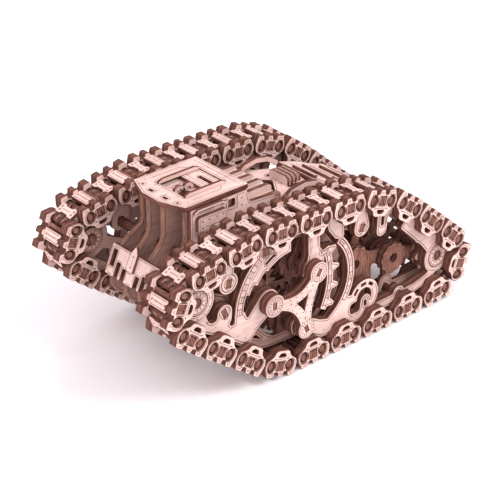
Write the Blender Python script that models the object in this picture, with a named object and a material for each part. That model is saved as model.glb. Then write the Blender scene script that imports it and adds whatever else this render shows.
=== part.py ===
"""Tracked tank chassis: a laser-cut plywood kit in the shape of an early rhomboid tank.

+X is forward, +Y is the vehicle's left, +Z is up, the ground is Z = 0.
All lengths below are millimetres and are turned into metres when a mesh is made.
"""
import bmesh
import bpy
import math
from mathutils import Matrix, Vector
from mathutils.geometry import delaunay_2d_cdt

MM = 0.001
SKEW = 0.413               # outlines are filled at an angle, so no edges lie level
T = 3.8                    # one sheet of plywood
GAP = 0.4                  # running clearance between neighbouring sheets
SHIFT = -0.91              # the front nose reaches further out, so all moves back by this
ZC = 65.79                 # height of the middle of the track loop

# ---- layers across one side, measured out from the middle of the vehicle
Y_SHOE_IN = 45.4           # inner shoe plates start here (two sheets)
Y_FRAME_IN = Y_SHOE_IN + 2 * T + GAP        # inner frame, one sheet
Y_FRAME_OUT = 64.4         # outer frame, two sheets
Y_SHOE_OUT = Y_FRAME_OUT + 2 * T + GAP      # outer shoe plates, two sheets
Y_EDGE = Y_SHOE_OUT + 2 * T                 # 80 mm, the widest point

# ---- the track loop
HOLE_PITCH = 19.0          # pin hole to pin hole inside one shoe
LINK_RATIO = 0.773         # pin to pin between shoes, as a share of HOLE_PITCH
SHOES = 20
FIRST_PIN = (146.5, ZC + 23.2)              # the walk round the loop starts here
# corners of the pin line about the loop's middle, each with its rounding: under the
# front, front nose, crest, rear shoulder, rear nose, under the rear
LOOP = [((55.1, -56.2), 63.0), ((180.3, 36.8), 23.4), ((69.8, 57.9), 88.0),
        ((-60.5, 52.5), 100.0), ((-178.9, -49.6), 23.4), ((-108.9, -56.2), 130.0)]

# ---- axles and gears (x, height above the ground), module 2.5
MODULE = 2.5
FRONT = (123.3, ZC + 25.3)
REAR = (-123.3, ZC - 27.0)
SHAFT_R, BORE_R = 4.0, 4.4
SEAM = 33.3                # the outer frame's two pieces meet at this x, in the top rail


def polar(c, r, deg):
    a = math.radians(deg)
    return (c[0] + r * math.cos(a), c[1] + r * math.sin(a))


def centre(p, q, rp, rq, side):
    """The point rp from p and rq from q, on one side of the line p to q."""
    d = math.dist(p, q)
    a = (rp * rp - rq * rq + d * d) / (2 * d)
    h = side * math.sqrt(max(rp * rp - a * a, 0.0))
    ux, uz = (q[0] - p[0]) / d, (q[1] - p[1]) / d
    return (p[0] + a * ux - h * uz, p[1] + a * uz + h * ux)


TEETH_A, TEETH_B, TEETH_C, TEETH_B2, TEETH_D = 24, 12, 12, 24, 22
TEETH_E, TEETH_E2, TEETH_R = 12, 14, 20
A = (57.0, ZC + 0.5)
B = polar(A, MODULE * (TEETH_A + TEETH_B) / 2, 165)
C = polar(A, MODULE * (TEETH_A + TEETH_C) / 2, 225)
D = polar(B, MODULE * (TEETH_B2 + TEETH_D) / 2, 200.9)
E = centre(D, REAR, MODULE * (TEETH_D + TEETH_E) / 2, MODULE * (TEETH_E2 + TEETH_R) / 2, 1)
PLANE_1, PLANE_2, PLANE_3 = 40.6, 35.6, 30.6      # inner faces of the gear sheets

# ---- square bars that tie the sheets together: centre, width, height, turn
BARS = {
    "bar_lobe": ((94.0, ZC + 30.0), 4.4, 6.4, 12),
    "bar_slot": ((98.0, ZC + 7.0), 3.8, 7.6, -22),
    "bar_node": ((59.0, ZC + 43.0), 6.0, 6.6, 0),
    "bar_diamond": ((-37.5, ZC + 28.0), 4.4, 6.0, 20),
    "bar_knob": ((-80.0, ZC - 45.5), 4.4, 5.0, 30),
}

PIECES = None
CUTTERS = None


def setup():
    global PIECES, CUTTERS
    for ob in list(bpy.data.objects):
        bpy.data.objects.remove(ob, do_unlink=True)
    PIECES = bpy.data.collections.new("tracked_tank_chassis")
    CUTTERS = bpy.data.collections.new("cutters")
    bpy.context.scene.collection.children.link(PIECES)
    bpy.context.scene.collection.children.link(CUTTERS)


def plywood(name, rgb, rough):
    m = bpy.data.materials.new(name)
    m.use_nodes = True
    n = m.node_tree.nodes["Principled BSDF"]
    n.inputs["Base Color"].default_value = (*rgb, 1.0)
    n.inputs["Roughness"].default_value = rough
    n.inputs["Metallic"].default_value = 0.0
    return m


# ------------------------------------------------------------------ outlines
def circle(c, r, n=16, start=0.0):
    return [polar(c, r, start + 360.0 * i / n) for i in range(n)]


def capsule(p, q, r, n=5, r2=None):
    """Round-ended bar from p to q; r2 gives the far end its own radius."""
    r2 = r if r2 is None else r2
    a = math.degrees(math.atan2(q[1] - p[1], q[0] - p[0]))
    return ([polar(q, r2, a - 90 + 180 * i / n) for i in range(n + 1)]
            + [polar(p, r, a + 90 + 180 * i / n) for i in range(n + 1)])


def sector(c, r0, r1, a0, a1, n):
    return ([polar(c, r1, a0 + (a1 - a0) * i / n) for i in range(n + 1)]
            + [polar(c, r0, a1 + (a0 - a1) * i / n) for i in range(n + 1)])


def box2(c, w, h, deg=0.0):
    a = math.radians(deg)
    out = []
    for sx, sz in ((-1, -1), (1, -1), (1, 1), (-1, 1)):
        x, z = sx * w / 2, sz * h / 2
        out.append((c[0] + x * math.cos(a) - z * math.sin(a),
                    c[1] + x * math.sin(a) + z * math.cos(a)))
    return out


def ribbon(points, w):
    """A band of width w that follows a line of points, mitred at the bends."""
    left, right = [], []
    for i, p in enumerate(points):
        a = points[max(i - 1, 0)]
        b = points[min(i + 1, len(points) - 1)]
        d = math.atan2(b[1] - a[1], b[0] - a[0])
        k = 1.0
        if 0 < i < len(points) - 1:
            d1 = math.atan2(p[1] - a[1], p[0] - a[0])
            d2 = math.atan2(b[1] - p[1], b[0] - p[0])
            turn = (d2 - d1 + math.pi) % (2 * math.pi) - math.pi
            d, k = d1 + turn / 2, 1.0 / math.cos(turn / 2)
        nx, nz = -math.sin(d) * w / 2 * k, math.cos(d) * w / 2 * k
        left.append((p[0] + nx, p[1] + nz))
        right.append((p[0] - nx, p[1] - nz))
    return left + right[::-1]


def rounded(points, radii, step=12.0):
    """Round every corner of a closed outline with its own radius."""
    out = []
    n = len(points)
    for i in range(n):
        p, a, b = Vector(points[i]), Vector(points[i - 1]), Vector(points[(i + 1) % n])
        u, v = (a - p).normalized(), (b - p).normalized()
        ang = u.angle(v)
        r = radii[i] if isinstance(radii, (list, tuple)) else radii
        if r <= 0 or ang > math.radians(179):
            out.append(tuple(p))
            continue
        c = p + (u + v).normalized() * (r / math.sin(ang / 2))
        t = r / math.tan(ang / 2)
        s, e = p + u * t - c, p + v * t - c
        a0 = math.atan2(s.y, s.x)
        sweep = (math.atan2(e.y, e.x) - a0 + math.pi) % (2 * math.pi) - math.pi
        k = max(2, int(round(abs(math.degrees(sweep)) / step)))
        out += [(c.x + r * math.cos(a0 + sweep * j / k), c.y + r * math.sin(a0 + sweep * j / k))
                for j in range(k + 1)]
    return out


def gear_outline(teeth, phase=0.0, backlash=0.5):
    """Straight-sided teeth with rounded-off tips, drawn about (0, 0)."""
    r = MODULE * teeth / 2
    tip, root = r + 0.86 * MODULE, r - 1.12 * MODULE
    half = 90.0 / teeth - math.degrees(backlash / 2 / r)
    base = r * math.cos(math.radians(20))
    out = []

    def inv(rad):
        t = math.acos(min(1.0, base / rad))
        return math.degrees(math.tan(t) - t)

    for i in range(teeth):
        a = phase + 360.0 * i / teeth
        rows = [(root, half + inv(r) - inv(max(root, base))), (tip, half + inv(r) - inv(tip))]
        out += [polar((0, 0), q, a - w) for q, w in rows]
        out += [polar((0, 0), q, a + w) for q, w in rows[::-1]]
    return out


def signed_area(pts):
    return sum(a[0] * b[1] - b[0] * a[1] for a, b in zip(pts, pts[1:] + pts[:1])) / 2


def merged(shapes, holes=()):
    """Boundary loops of the union of some outlines, less the holes."""
    verts, faces = [], []
    for pts in [*shapes, *holes]:
        pts = pts if signed_area(pts) > 0 else pts[::-1]
        faces.append(list(range(len(verts), len(verts) + len(pts))))
        verts += [Vector(p) for p in pts]
    co, _, tris, _, _, origin = delaunay_2d_cdt(verts, [], faces, 1, 2e-3)
    solid = len(shapes)
    follow = {}
    for tri, src in zip(tris, origin):
        if any(i < solid for i in src) and not any(i >= solid for i in src):
            for a, b in zip(tri, tri[1:] + tri[:1]):
                if b in follow.get(a, ()):
                    continue
                if a in follow.get(b, ()):
                    follow[b].remove(a)
                else:
                    follow.setdefault(a, []).append(b)
    loops = []
    while any(follow.values()):
        a = min(k for k, v in follow.items() if v)
        loop, b = [a], follow[a].pop()
        while b != loop[0]:
            loop.append(b)
            b = follow[b].pop()
        pts = [tuple(co[i]) for i in loop]
        loops.append(straightened(pts))
    return [q for q in loops if abs(signed_area(q)) > 0.4]


def straightened(pts):
    """Drop points that lie on the line between their neighbours."""
    out = []
    for i, p in enumerate(pts):
        a, b = out[-1] if out else pts[i - 1], pts[(i + 1) % len(pts)]
        cross = (p[0] - a[0]) * (b[1] - p[1]) - (p[1] - a[1]) * (b[0] - p[0])
        if abs(cross) > 0.012 * max(math.dist(a, b), 0.5):
            out.append(p)
    return out


# ------------------------------------------------------------------ solids
def put(name, mesh, mat, origin=(0, 0, 0), helper=False):
    o = Vector(origin) * MM
    mesh.transform(Matrix.Translation(-o))
    ob = bpy.data.objects.new(name, mesh)
    ob.location = o if helper else o + Vector((SHIFT * MM, 0, 0))
    mesh.materials.clear()
    if helper:
        CUTTERS.objects.link(ob)
        ob.hide_render = True
        ob.display_type = "WIRE"
    else:
        mesh.materials.append(mat)
        PIECES.objects.link(ob)
    return ob


def sheet(outline, lo, hi, plane="XZ", holes=()):
    """A flat sheet with an outline and holes, between lo and hi on its own axis."""
    cu = bpy.data.curves.new("outline", "CURVE")
    cu.dimensions = "2D"
    cu.fill_mode = "BOTH"
    cu.extrude = (hi - lo) / 2 * MM
    c, s = math.cos(SKEW), math.sin(SKEW)
    for pts in [outline, *holes]:
        sp = cu.splines.new("POLY")
        sp.points.add(len(pts) - 1)
        for i, (u, v) in enumerate(pts):
            sp.points[i].co = ((u * c - v * s) * MM, (u * s + v * c) * MM, 0, 1)
        sp.use_cyclic_u = True
    ob = bpy.data.objects.new("outline", cu)
    CUTTERS.objects.link(ob)
    deps = bpy.context.evaluated_depsgraph_get()
    me = bpy.data.meshes.new_from_object(ob.evaluated_get(deps))
    bpy.data.objects.remove(ob, do_unlink=True)
    mid = (lo + hi) / 2 * MM
    if plane == "XZ":
        m = Matrix(((1, 0, 0, 0), (0, 0, -1, mid), (0, 1, 0, 0), (0, 0, 0, 1)))
    elif plane == "XY":
        m = Matrix.Translation((0, 0, mid))
    else:                                            # "YZ"
        m = Matrix(((0, 0, 1, mid), (1, 0, 0, 0), (0, 1, 0, 0), (0, 0, 0, 1)))
    me.transform(m @ Matrix.Rotation(-SKEW, 4, "Z"))
    weld(me)
    return me


def weld(me):
    bm = bmesh.new()
    bm.from_mesh(me)
    bmesh.ops.remove_doubles(bm, verts=bm.verts, dist=2e-6)
    bmesh.ops.recalc_face_normals(bm, faces=bm.faces)
    bm.to_mesh(me)
    bm.free()


def tidy(me):
    """Refill every flat region of a mesh with as few triangles as its outline needs."""
    bm = bmesh.new()
    bm.from_mesh(me)
    bmesh.ops.remove_doubles(bm, verts=bm.verts, dist=1e-6)
    bmesh.ops.dissolve_degenerate(bm, dist=1e-7, edges=bm.edges)
    bmesh.ops.triangulate(bm, faces=bm.faces)
    bm.normal_update()
    bm.faces.index_update()
    bm.verts.index_update()
    region = {}
    seeds = []
    for seed in sorted(bm.faces, key=lambda f: -f.calc_area()):
        if seed.index in region:
            continue
        n, d = seed.normal.copy(), seed.normal.dot(seed.verts[0].co)
        seeds.append(n)
        stack = [seed]
        region[seed.index] = len(seeds) - 1
        while stack:
            for e in stack.pop().edges:
                for f in e.link_faces:
                    if f.index not in region and all(abs(n.dot(v.co) - d) < 2e-6 for v in f.verts):
                        if f.calc_area() < 1e-10 or f.normal.dot(n) > 0.9:
                            region[f.index] = len(seeds) - 1
                            stack.append(f)
    rims = [dict() for _ in seeds]
    meets = {}
    for e in bm.edges:
        if len({region[f.index] for f in e.link_faces}) > 1:
            for v in e.verts:
                meets.setdefault(v.index, []).append(e.other_vert(v).co - v.co)
            for lo in e.link_loops:
                a, b = lo.vert.index, lo.link_loop_next.vert.index
                rims[region[lo.face.index]].setdefault(a, []).append(b)
    keep = {v for v, d in meets.items() if len(d) != 2 or d[0].angle(d[1]) < math.pi - 4e-3}
    co = [v.co.copy() for v in bm.verts]
    bm.free()
    tris = []
    for n, follow in zip(seeds, rims):
        u = n.orthogonal().normalized()
        v = n.cross(u)
        loops = []
        while any(follow.values()):
            a = min(k for k, q in follow.items() if q)
            loop, b = [a], follow[a].pop()
            while b != loop[0]:
                loop.append(b)
                b = follow[b].pop()
            loop = [i for i in loop if i in keep]
            if len(loop) > 2:
                loops.append(loop)
        ids = sorted({i for q in loops for i in q})
        at = {k: j for j, k in enumerate(ids)}
        flat = [Vector((co[i].dot(u), co[i].dot(v))) * 1000 for i in ids]
        edges = [(at[a], at[b]) for q in loops for a, b in zip(q, q[1:] + q[:1])]
        if len(flat) < 3:
            continue
        pts, _, cells, src, _, _ = delaunay_2d_cdt(flat, edges, [], 1, 1e-4)
        for cell in cells:
            mid = sum((pts[i] for i in cell), Vector((0, 0))) / 3
            if sum(crosses(mid, flat[a], flat[b]) for a, b in edges) % 2:
                tris.append([ids[src[i][0]] for i in cell])
    used = sorted({i for t in tris for i in t})
    at = {k: j for j, k in enumerate(used)}
    me.clear_geometry()
    me.from_pydata([co[i] for i in used], [], [[at[i] for i in t] for t in tris])
    me.update()


def crosses(m, a, b):
    """Whether the level ray from m to the right meets the edge a to b."""
    if (a.y > m.y) == (b.y > m.y):
        return False
    return a.x + (m.y - a.y) * (b.x - a.x) / (b.y - a.y) > m.x


def combine(base, others, op):
    """Boolean of a mesh with a list of meshes; the helpers are removed again."""
    ob = put("base", base, None, helper=True)
    helpers = []
    for me in others:
        h = put("helper", me, None, helper=True)
        md = ob.modifiers.new("b", "BOOLEAN")
        md.operation, md.solver, md.object = op, "EXACT", h
        helpers.append(h)
    deps = bpy.context.evaluated_depsgraph_get()
    out = bpy.data.meshes.new_from_object(ob.evaluated_get(deps))
    for h in [ob, *helpers]:
        bpy.data.objects.remove(h, do_unlink=True)
    tidy(out)
    return out


def fused(shapes, lo, hi, holes=(), plane="XZ"):
    """One sheet whose outline is the union of several shapes, pierced by holes."""
    loops = merged(shapes, holes)
    loops.sort(key=lambda q: -abs(signed_area(q)))
    return sheet(loops[0], lo, hi, plane, loops[1:])


def span(s, y0, y1):
    return (y0, y1) if s > 0 else (-y1, -y0)


# ------------------------------------------------------------------ the track
def inset_loop(d, step=15.0):
    """The pin line moved inwards by d, counter-clockwise seen from the right."""
    pts = [Vector(p) for p, _ in LOOP]
    moved = []
    for i, p in enumerate(pts):
        u = (p - pts[i - 1]).normalized()
        v = (pts[(i + 1) % len(pts)] - p).normalized()
        m = Vector((-u.y - v.y, u.x + v.x)).normalized()
        moved.append(tuple(p + m * (d / m.dot(Vector((-u.y, u.x))))))
    return [(x, z + ZC) for x, z in rounded(moved, [r - d for _, r in LOOP], step)]


def rim(d0, d1, keep):
    """Short pieces of a band between two insets of the loop, where keep(x, z) holds."""
    o, q = inset_loop(d0), inset_loop(d1)
    n = len(o)
    out = []
    for i in range(n):
        j = (i + 1) % n
        steps = max(1, round(math.dist(o[i], o[j]) / 12))
        for k in range(steps):
            a, b = k / steps, (k + 1) / steps
            quad = [lerp(o[i], o[j], a), lerp(o[i], o[j], b), lerp(q[i], q[j], b),
                    lerp(q[i], q[j], a)]
            if keep(sum(c[0] for c in quad) / 4, sum(c[1] for c in quad) / 4 - ZC):
                out.append(quad)
    return out


def walk(path, start, chord):
    """Next place on the closed path whose straight distance is chord."""
    n = len(path)
    seg, t = start
    p = lerp(path[seg], path[(seg + 1) % n], t)
    i, lo = seg, t
    for _ in range(n):
        a, b = path[i], path[(i + 1) % n]
        if math.dist(b, p) >= chord:
            hi = 1.0
            for _ in range(40):
                m = (lo + hi) / 2
                if math.dist(lerp(a, b, m), p) < chord:
                    lo = m
                else:
                    hi = m
            return (i, hi), lerp(a, b, hi)
        i, lo = (i + 1) % n, 0.0
    return (i, 0.0), p


def lerp(a, b, t):
    return (a[0] + (b[0] - a[0]) * t, a[1] + (b[1] - a[1]) * t)


def shoe_pins():
    """Pin pairs of the twenty shoes; the pitch is trimmed until the loop closes."""
    path = inset_loop(0.0, 3.0)
    n = len(path)
    k = min(range(n), key=lambda i: off_line(FIRST_PIN, path[i], path[(i + 1) % n]))
    path = [on_line(FIRST_PIN, path[k], path[(k + 1) % n])] + path[k + 1:] + path[:k + 1]
    n = len(path)
    whole = sum(math.dist(path[i], path[(i + 1) % n]) for i in range(n))

    def run(pitch):
        at = (0, 0.0)
        out, gone = [], 0.0
        p = path[0]
        for _ in range(SHOES):
            at2, q = walk(path, at, pitch)
            out.append((p, q))
            gone += along(path, at, at2)
            at3, p = walk(path, at2, pitch * LINK_RATIO)
            gone += along(path, at2, at3)
            at = at3
        return out, gone

    lo, hi = HOLE_PITCH * 0.9, HOLE_PITCH * 1.1
    for _ in range(40):
        mid = (lo + hi) / 2
        if run(mid)[1] < whole:
            lo = mid
        else:
            hi = mid
    return run(lo)[0]


def on_line(p, a, b):
    t = (((p[0] - a[0]) * (b[0] - a[0]) + (p[1] - a[1]) * (b[1] - a[1]))
         / math.dist(a, b) ** 2)
    return lerp(a, b, t)


def off_line(p, a, b):
    """How much longer the way from a to b is by p."""
    return math.dist(a, p) + math.dist(p, b) - math.dist(a, b)


def along(path, a, b):
    n = len(path)
    (i, t), (j, u) = a, b
    if i == j and u >= t:
        return math.dist(path[i], path[(i + 1) % n]) * (u - t)
    d = math.dist(path[i], path[(i + 1) % n]) * (1 - t)
    i = (i + 1) % n
    while i != j:
        d += math.dist(path[i], path[(i + 1) % n])
        i = (i + 1) % n
    return d + math.dist(path[i], path[(i + 1) % n]) * u


CROWN, HUMP = 9.0, 12.4


def shoe_outline():
    """One shoe plate: three crown teeth below, a guide hump above, ends shaped."""
    return [(-14.8, -CROWN), (-9.6, -CROWN), (-6.8, -5.6), (-4.0, -CROWN), (0.2, -CROWN),
            (3.0, -5.6), (5.8, -CROWN), (11.8, -CROWN), (15.2, -1.6), (5.6, HUMP),
            (-5.6, HUMP), (-15.2, -2.0)]


def at_chord(me, p, q):
    """Copy of a mesh drawn about a chord's middle, moved onto the chord p to q."""
    mid = lerp(p, q, 0.5)
    turn = math.atan2(q[1] - p[1], q[0] - p[0])
    out = me.copy()
    out.transform(Matrix.Translation(Vector((mid[0], 0, mid[1])) * MM)
                  @ Matrix.Rotation(-turn, 4, "Y"))
    return out


def track(name, s, mat):
    """Twenty shoes joined by hinge plates. One closed loop, one body."""
    pins = shoe_pins()
    y0, y1 = span(s, Y_SHOE_IN + T, Y_EDGE - T)
    plates = [sheet(shoe_outline(), *span(s, lo, lo + 2 * T))
              for lo in (Y_SHOE_IN, Y_SHOE_OUT)]
    shoe = combine(plates[0], [plates[1], sheet(box2((0, -3.2), 10.4, T), y0, y1)], "UNION")
    parts = []
    for i in range(SHOES):
        (p, q), nxt = pins[i], pins[(i + 1) % SHOES][0]
        hinge = sheet(box2((0, 0), math.dist(q, nxt) + 4.0, T), y0, y1)
        parts += [at_chord(shoe, p, q), at_chord(hinge, q, nxt)]
    return put(name, combine(parts[0], parts[1:], "UNION"), mat)


# ------------------------------------------------------------------ side frames
def bores(points, r=BORE_R, n=8):
    return [circle(p, r, n, 22.5) for p in points]


def bar_holes(names, grow=0.5):
    return [box2(BARS[k][0], BARS[k][1] + grow, BARS[k][2] + grow, BARS[k][3]) for k in names]


def frame_front(s, mat):
    """Outer frame, front piece: nose plate, lobes, web, long arc, arm to shaft A."""
    y0, y1 = span(s, Y_FRAME_OUT, Y_FRAME_OUT + 2 * T)
    arc_c = (34.0, ZC - 2.0)
    shapes = [
        circle(FRONT, 15.6, 20),
        *rim(3.4, 10.4, lambda x, z: 28 < x < 122 and z > 30),
        capsule((121, ZC + 24), (116, ZC + 36), 5.0),
        capsule((93, ZC + 44), (94.5, ZC + 36), 4.6),
        circle((94.2, ZC + 30.4), 8.6, 14),
        [(131, ZC + 14), (116, ZC + 13.5), (113, ZC + 6), (110, ZC + 3.5), (106, ZC + 4),
         (104.4, ZC + 8), (91.6, ZC + 8), (93.8, ZC - 3), (91.8, ZC - 6), (89, ZC - 5.4),
         (88.3, ZC + 1), (79, ZC + 1), (76.6, ZC - 6.6), (73, ZC - 8.6), (66, ZC - 4),
         (57, ZC - 9), (63.5, ZC - 13), (73, ZC - 25.4), (77, ZC - 27), (82, ZC - 25.5),
         (99, ZC - 12.5), (119, ZC - 1)],
        capsule((98.4, ZC + 2), (98.0, ZC + 7.2), 7.0, 5),
        sector(arc_c, 46.6, 54.6, -4, 22, 5),
        sector(arc_c, 43.0, 54.6, 20, 32, 3),
        sector(arc_c, 38.6, 54.6, 31, 52, 4),
        sector(arc_c, 36.4, 54.0, 50, 89, 7),
        circle((59.0, ZC + 43.0), 8.0, 12),
        capsule((79, ZC - 18), A, 6.6, 6, 10.4),
    ]
    holes = bores([A]) + bar_holes(["bar_lobe", "bar_slot", "bar_node"])
    holes.append(box2((SEAM - 9.8, ZC + 45), 20, 40))
    holes.append(sector(arc_c, 41.6, 43.8, 54, 68, 3))
    me = fused(shapes, y0, y1, holes)
    step = sheet(circle(FRONT, 9.9, 16), *span(s, Y_FRAME_OUT + T, Y_FRAME_OUT + 2 * T + 1))
    bore = sheet(circle(FRONT, BORE_R, 12, 15), *span(s, Y_FRAME_OUT - 1, Y_FRAME_OUT + 2 * T + 1))
    return put(name_s("frame_outer_front", s), combine(me, [bore, step], "DIFFERENCE"), mat)


def frame_rear(s, mat):
    """Outer frame, rear piece: toothed post, short arc, hook, rails, rear nose plate."""
    y0, y1 = span(s, Y_FRAME_OUT, Y_FRAME_OUT + 2 * T)
    arc_c = (15.0, ZC - 4.0)
    strip = sector(A, 59.0, 65.5, 157, 207, 6)
    teeth = [[polar(A, 64.0, a - 4.2), polar(A, 71.6, a - 0.6), polar(A, 71.6, a + 1.2),
              polar(A, 64.0, a + 3.6)] for a in (161.5, 175.5, 189.0, 201.5)]
    shapes = [
        *rim(3.2, 10.6, lambda x, z: x < 40 and z > -14 and (x > -116 or z > -10)),
        [(19.5, ZC + 48), (17.8, ZC + 38), (17.4, ZC + 25), (19.4, ZC + 14), (24.0, ZC + 8.5),
         (2.0, ZC + 8.5), (0.5, ZC + 22), (5.6, ZC + 27), (6.2, ZC + 38), (4.0, ZC + 48)],
        strip, *teeth,
        circle(B, 8.8, 14),
        [(-0.5, ZC + 47), (-2.5, ZC + 38), (-9.5, ZC + 29), (-16.0, ZC + 26),
         (-19.0, ZC + 29), (-18.0, ZC + 38), (-19.0, ZC + 46)],
        sector(arc_c, 38.6, 45.8, 133, 216, 8),
        circle(C, 8.8, 14),
        [(27, ZC - 30), (12, ZC - 31), (4, ZC - 35.5), (-6, ZC - 38.5), (-15, ZC - 35),
         (-22, ZC - 26), (-29, ZC - 27), (-27, ZC - 42), (-38, ZC - 52), (2, ZC - 52),
         (14, ZC - 45), (26, ZC - 38)],
        sector((-42.4, ZC - 33.5), 7.6, 15.0, -8, 200, 10),
        capsule((-43.0, ZC - 46), (-44.0, ZC - 37.5), 5.4, 4),
        ribbon([(-30, ZC - 48.6), (-60, ZC - 48.6), (-98, ZC - 47.0), (-113, ZC - 43.6),
                (-121, ZC - 37)], 8.4),
        circle((-80.5, ZC - 45.0), 6.2, 12),
        circle(REAR, 14.6, 20),
        ribbon([(-117, ZC - 18), (-108.5, ZC - 7.5), (-96, ZC + 4.5), (-83, ZC + 17)], 11.5),
        circle((-101.5, ZC - 2.5), 5.2, 10),
        capsule((-60.2, ZC + 36), (-58.6, ZC + 19), 6.4, 5, 5.4),
        capsule((-36.5, ZC + 43), (-37.2, ZC + 29), 4.6, 6, 8.0),
        sector((-42.4, ZC - 33.5), 8.0, 15.0, 195, 262, 5),
    ]
    holes = bores([B, C]) + bar_holes(["bar_diamond", "bar_knob"])
    holes.append(box2((SEAM + 9.8, ZC + 45), 20, 40))
    for a in (38, 84, 128):
        holes.append(box2(polar((-42.4, ZC - 33.5), 11.2, a), 5.4, 2.4, a + 90))
    me = fused(shapes, y0, y1, holes)
    step = sheet(circle(REAR, 9.9, 16), *span(s, Y_FRAME_OUT + T, Y_FRAME_OUT + 2 * T + 1))
    bore = sheet(circle(REAR, BORE_R, 12, 15), *span(s, Y_FRAME_OUT - 1, Y_FRAME_OUT + 2 * T + 1))
    return put(name_s("frame_outer_rear", s), combine(me, [bore, step], "DIFFERENCE"), mat)


def frame_inner(s, mat):
    """Inner frame: one sheet with a rim, a round window, bearing arms and discs."""
    y0, y1 = span(s, Y_FRAME_IN, Y_FRAME_IN + T)
    outer, inner = inset_loop(4.6, 15.0), inset_loop(13.2, 15.0)
    rim = [[outer[i], outer[(i + 1) % len(outer)], inner[(i + 1) % len(inner)], inner[i]]
           for i in range(len(outer))]
    ring_c = (20.0, ZC - 7.0)
    shapes = [
        *rim,
        circle(FRONT, 17.0, 20), circle(REAR, 14.6, 20),
        sector(ring_c, 40.0, 47.0, 28, 152, 9), sector(ring_c, 39.6, 51.0, 149, 216, 5),
        sector(ring_c, 39.8, 45.2, 213, 326, 8), sector(ring_c, 39.8, 46.6, 322, 393, 5),
        circle(A, 12.6, 16), capsule((70, ZC - 14), A, 6.0),
        capsule(B, (4, ZC + 36), 6.6), circle(B, 9.0, 14),
        capsule(C, (29, ZC - 45), 7.0),
        ribbon([(60, ZC + 2), (84, ZC + 5), (110, ZC + 18)], 10.0),
        capsule((94, ZC + 30), (93, ZC + 38.5), 8.0), circle((98, ZC + 7), 8.0, 18),
        circle((59, ZC + 43), 8.0, 18),
        capsule((-37.5, ZC + 28), (-36, ZC + 40), 7.6),
        ribbon([(-27, ZC - 14), D, E, (REAR[0] + 8, REAR[1] + 1)], 9.0),
        circle(D, 9.0, 14), circle(E, 9.0, 14),
        capsule((-80, ZC - 44), (-81, ZC - 41), 7.0),
        ribbon([E, (-82, ZC - 46)], 8.0), ribbon([D, (-58, ZC + 44)], 7.0),
    ]
    holes = bores([FRONT, REAR, A, B, C, D, E]) + bar_holes(BARS)
    return put(name_s("frame_inner", s), fused(shapes, y0, y1, holes), mat)


def tri_arm(s, mat):
    """Three-armed bearing bracket that stands proud of the outer frame."""
    y0, y1 = span(s, Y_SHOE_OUT, Y_EDGE)
    mid = ((A[0] + B[0] + C[0]) / 3, (A[1] + B[1] + C[1]) / 3)

    def bow(p, q, lift, w0, w1):
        n = 6
        ux, uz = (q[0] - p[0]), (q[1] - p[1])
        ln = math.hypot(ux, uz)
        nx, nz = -uz / ln, ux / ln
        if (mid[0] - p[0]) * nx + (mid[1] - p[1]) * nz < 0:
            nx, nz = -nx, -nz
        inner, outer = [], []
        for i in range(n + 1):
            t = i / n
            bump = math.sin(math.pi * t)
            off = lift * bump
            w = w0 + (w1 - w0) * bump
            x, z = p[0] + ux * t + nx * off, p[1] + uz * t + nz * off
            outer.append((x - nx * w / 2, z - nz * w / 2))
            inner.append((x + nx * w / 2, z + nz * w / 2))
        return outer + inner[::-1]

    shapes = [circle(A, 8.6), circle(B, 8.6), circle(C, 7.9),
              bow(A, B, 7.6, 9.0, 7.0), bow(A, C, 7.2, 9.0, 7.0), bow(B, C, 2.6, 9.0, 6.6)]
    return put(name_s("tri_arm", s), fused(shapes, y0, y1, bores([A, B, C])), mat)


def name_s(base, s):
    return base + ("_left" if s > 0 else "_right")


# ------------------------------------------------------------------ turning pieces
def shaft(name, at, y0, y1, mat):
    me = sheet(circle(at, SHAFT_R, 12, 15), y0, y1)
    cuts = []
    for lo, hi in ((y0 - 1, y0 + 2.0), (y1 - 2.0, y1 + 1)):
        cuts.append(sheet(box2(at, 2.8, 5.0), lo, hi))
    return put(name, combine(me, cuts, "DIFFERENCE"), mat, (at[0], 0, at[1]))


def wheel(name, at, outline, y0, y1, mat, hole=SHAFT_R + 0.15, extra=()):
    moved = [(at[0] + x, at[1] + z) for x, z in outline]
    holes = [circle(at, hole, 12, 15), *extra]
    return put(name, sheet(moved, y0, y1, holes=holes), mat, (at[0], 0, at[1]))


def windows(at, r0, r1, n, deg, start=0.0):
    return [sector(at, r0, r1, start + 360 * i / n - deg / 2, start + 360 * i / n + deg / 2, 2)
            for i in range(n)]


def lobed(r0, r1, n, steps=4):
    """Sprocket outline: n rounded lobes between the radii r0 and r1."""
    k = n * steps * 2
    return [polar((0, 0), r0 + (r1 - r0) * (0.5 + 0.5 * math.cos(2 * math.pi * i / (steps * 2)))
                  ** 0.8, 360 * i / k) for i in range(k)]


def gear(name, at, teeth, phase, plane, mat, wide=T, spokes=True):
    r = MODULE * teeth / 2
    extra = windows(at, 9.0, r - 7.5, 4, 50, phase + 10) if spokes and r > 20 else ()
    return wheel(name, at, gear_outline(teeth, phase), plane, plane + wide, mat, extra=extra)


def phase_for(p, q, teeth_p, phase_p, teeth_q):
    """Turn the second gear so that its gap sits on the first gear's tooth."""
    d = math.degrees(math.atan2(q[1] - p[1], q[0] - p[0]))
    frac = ((d - phase_p) * teeth_p / 360.0) % 1.0
    return d + 180.0 + (frac + 0.5) * 360.0 / teeth_q


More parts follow.
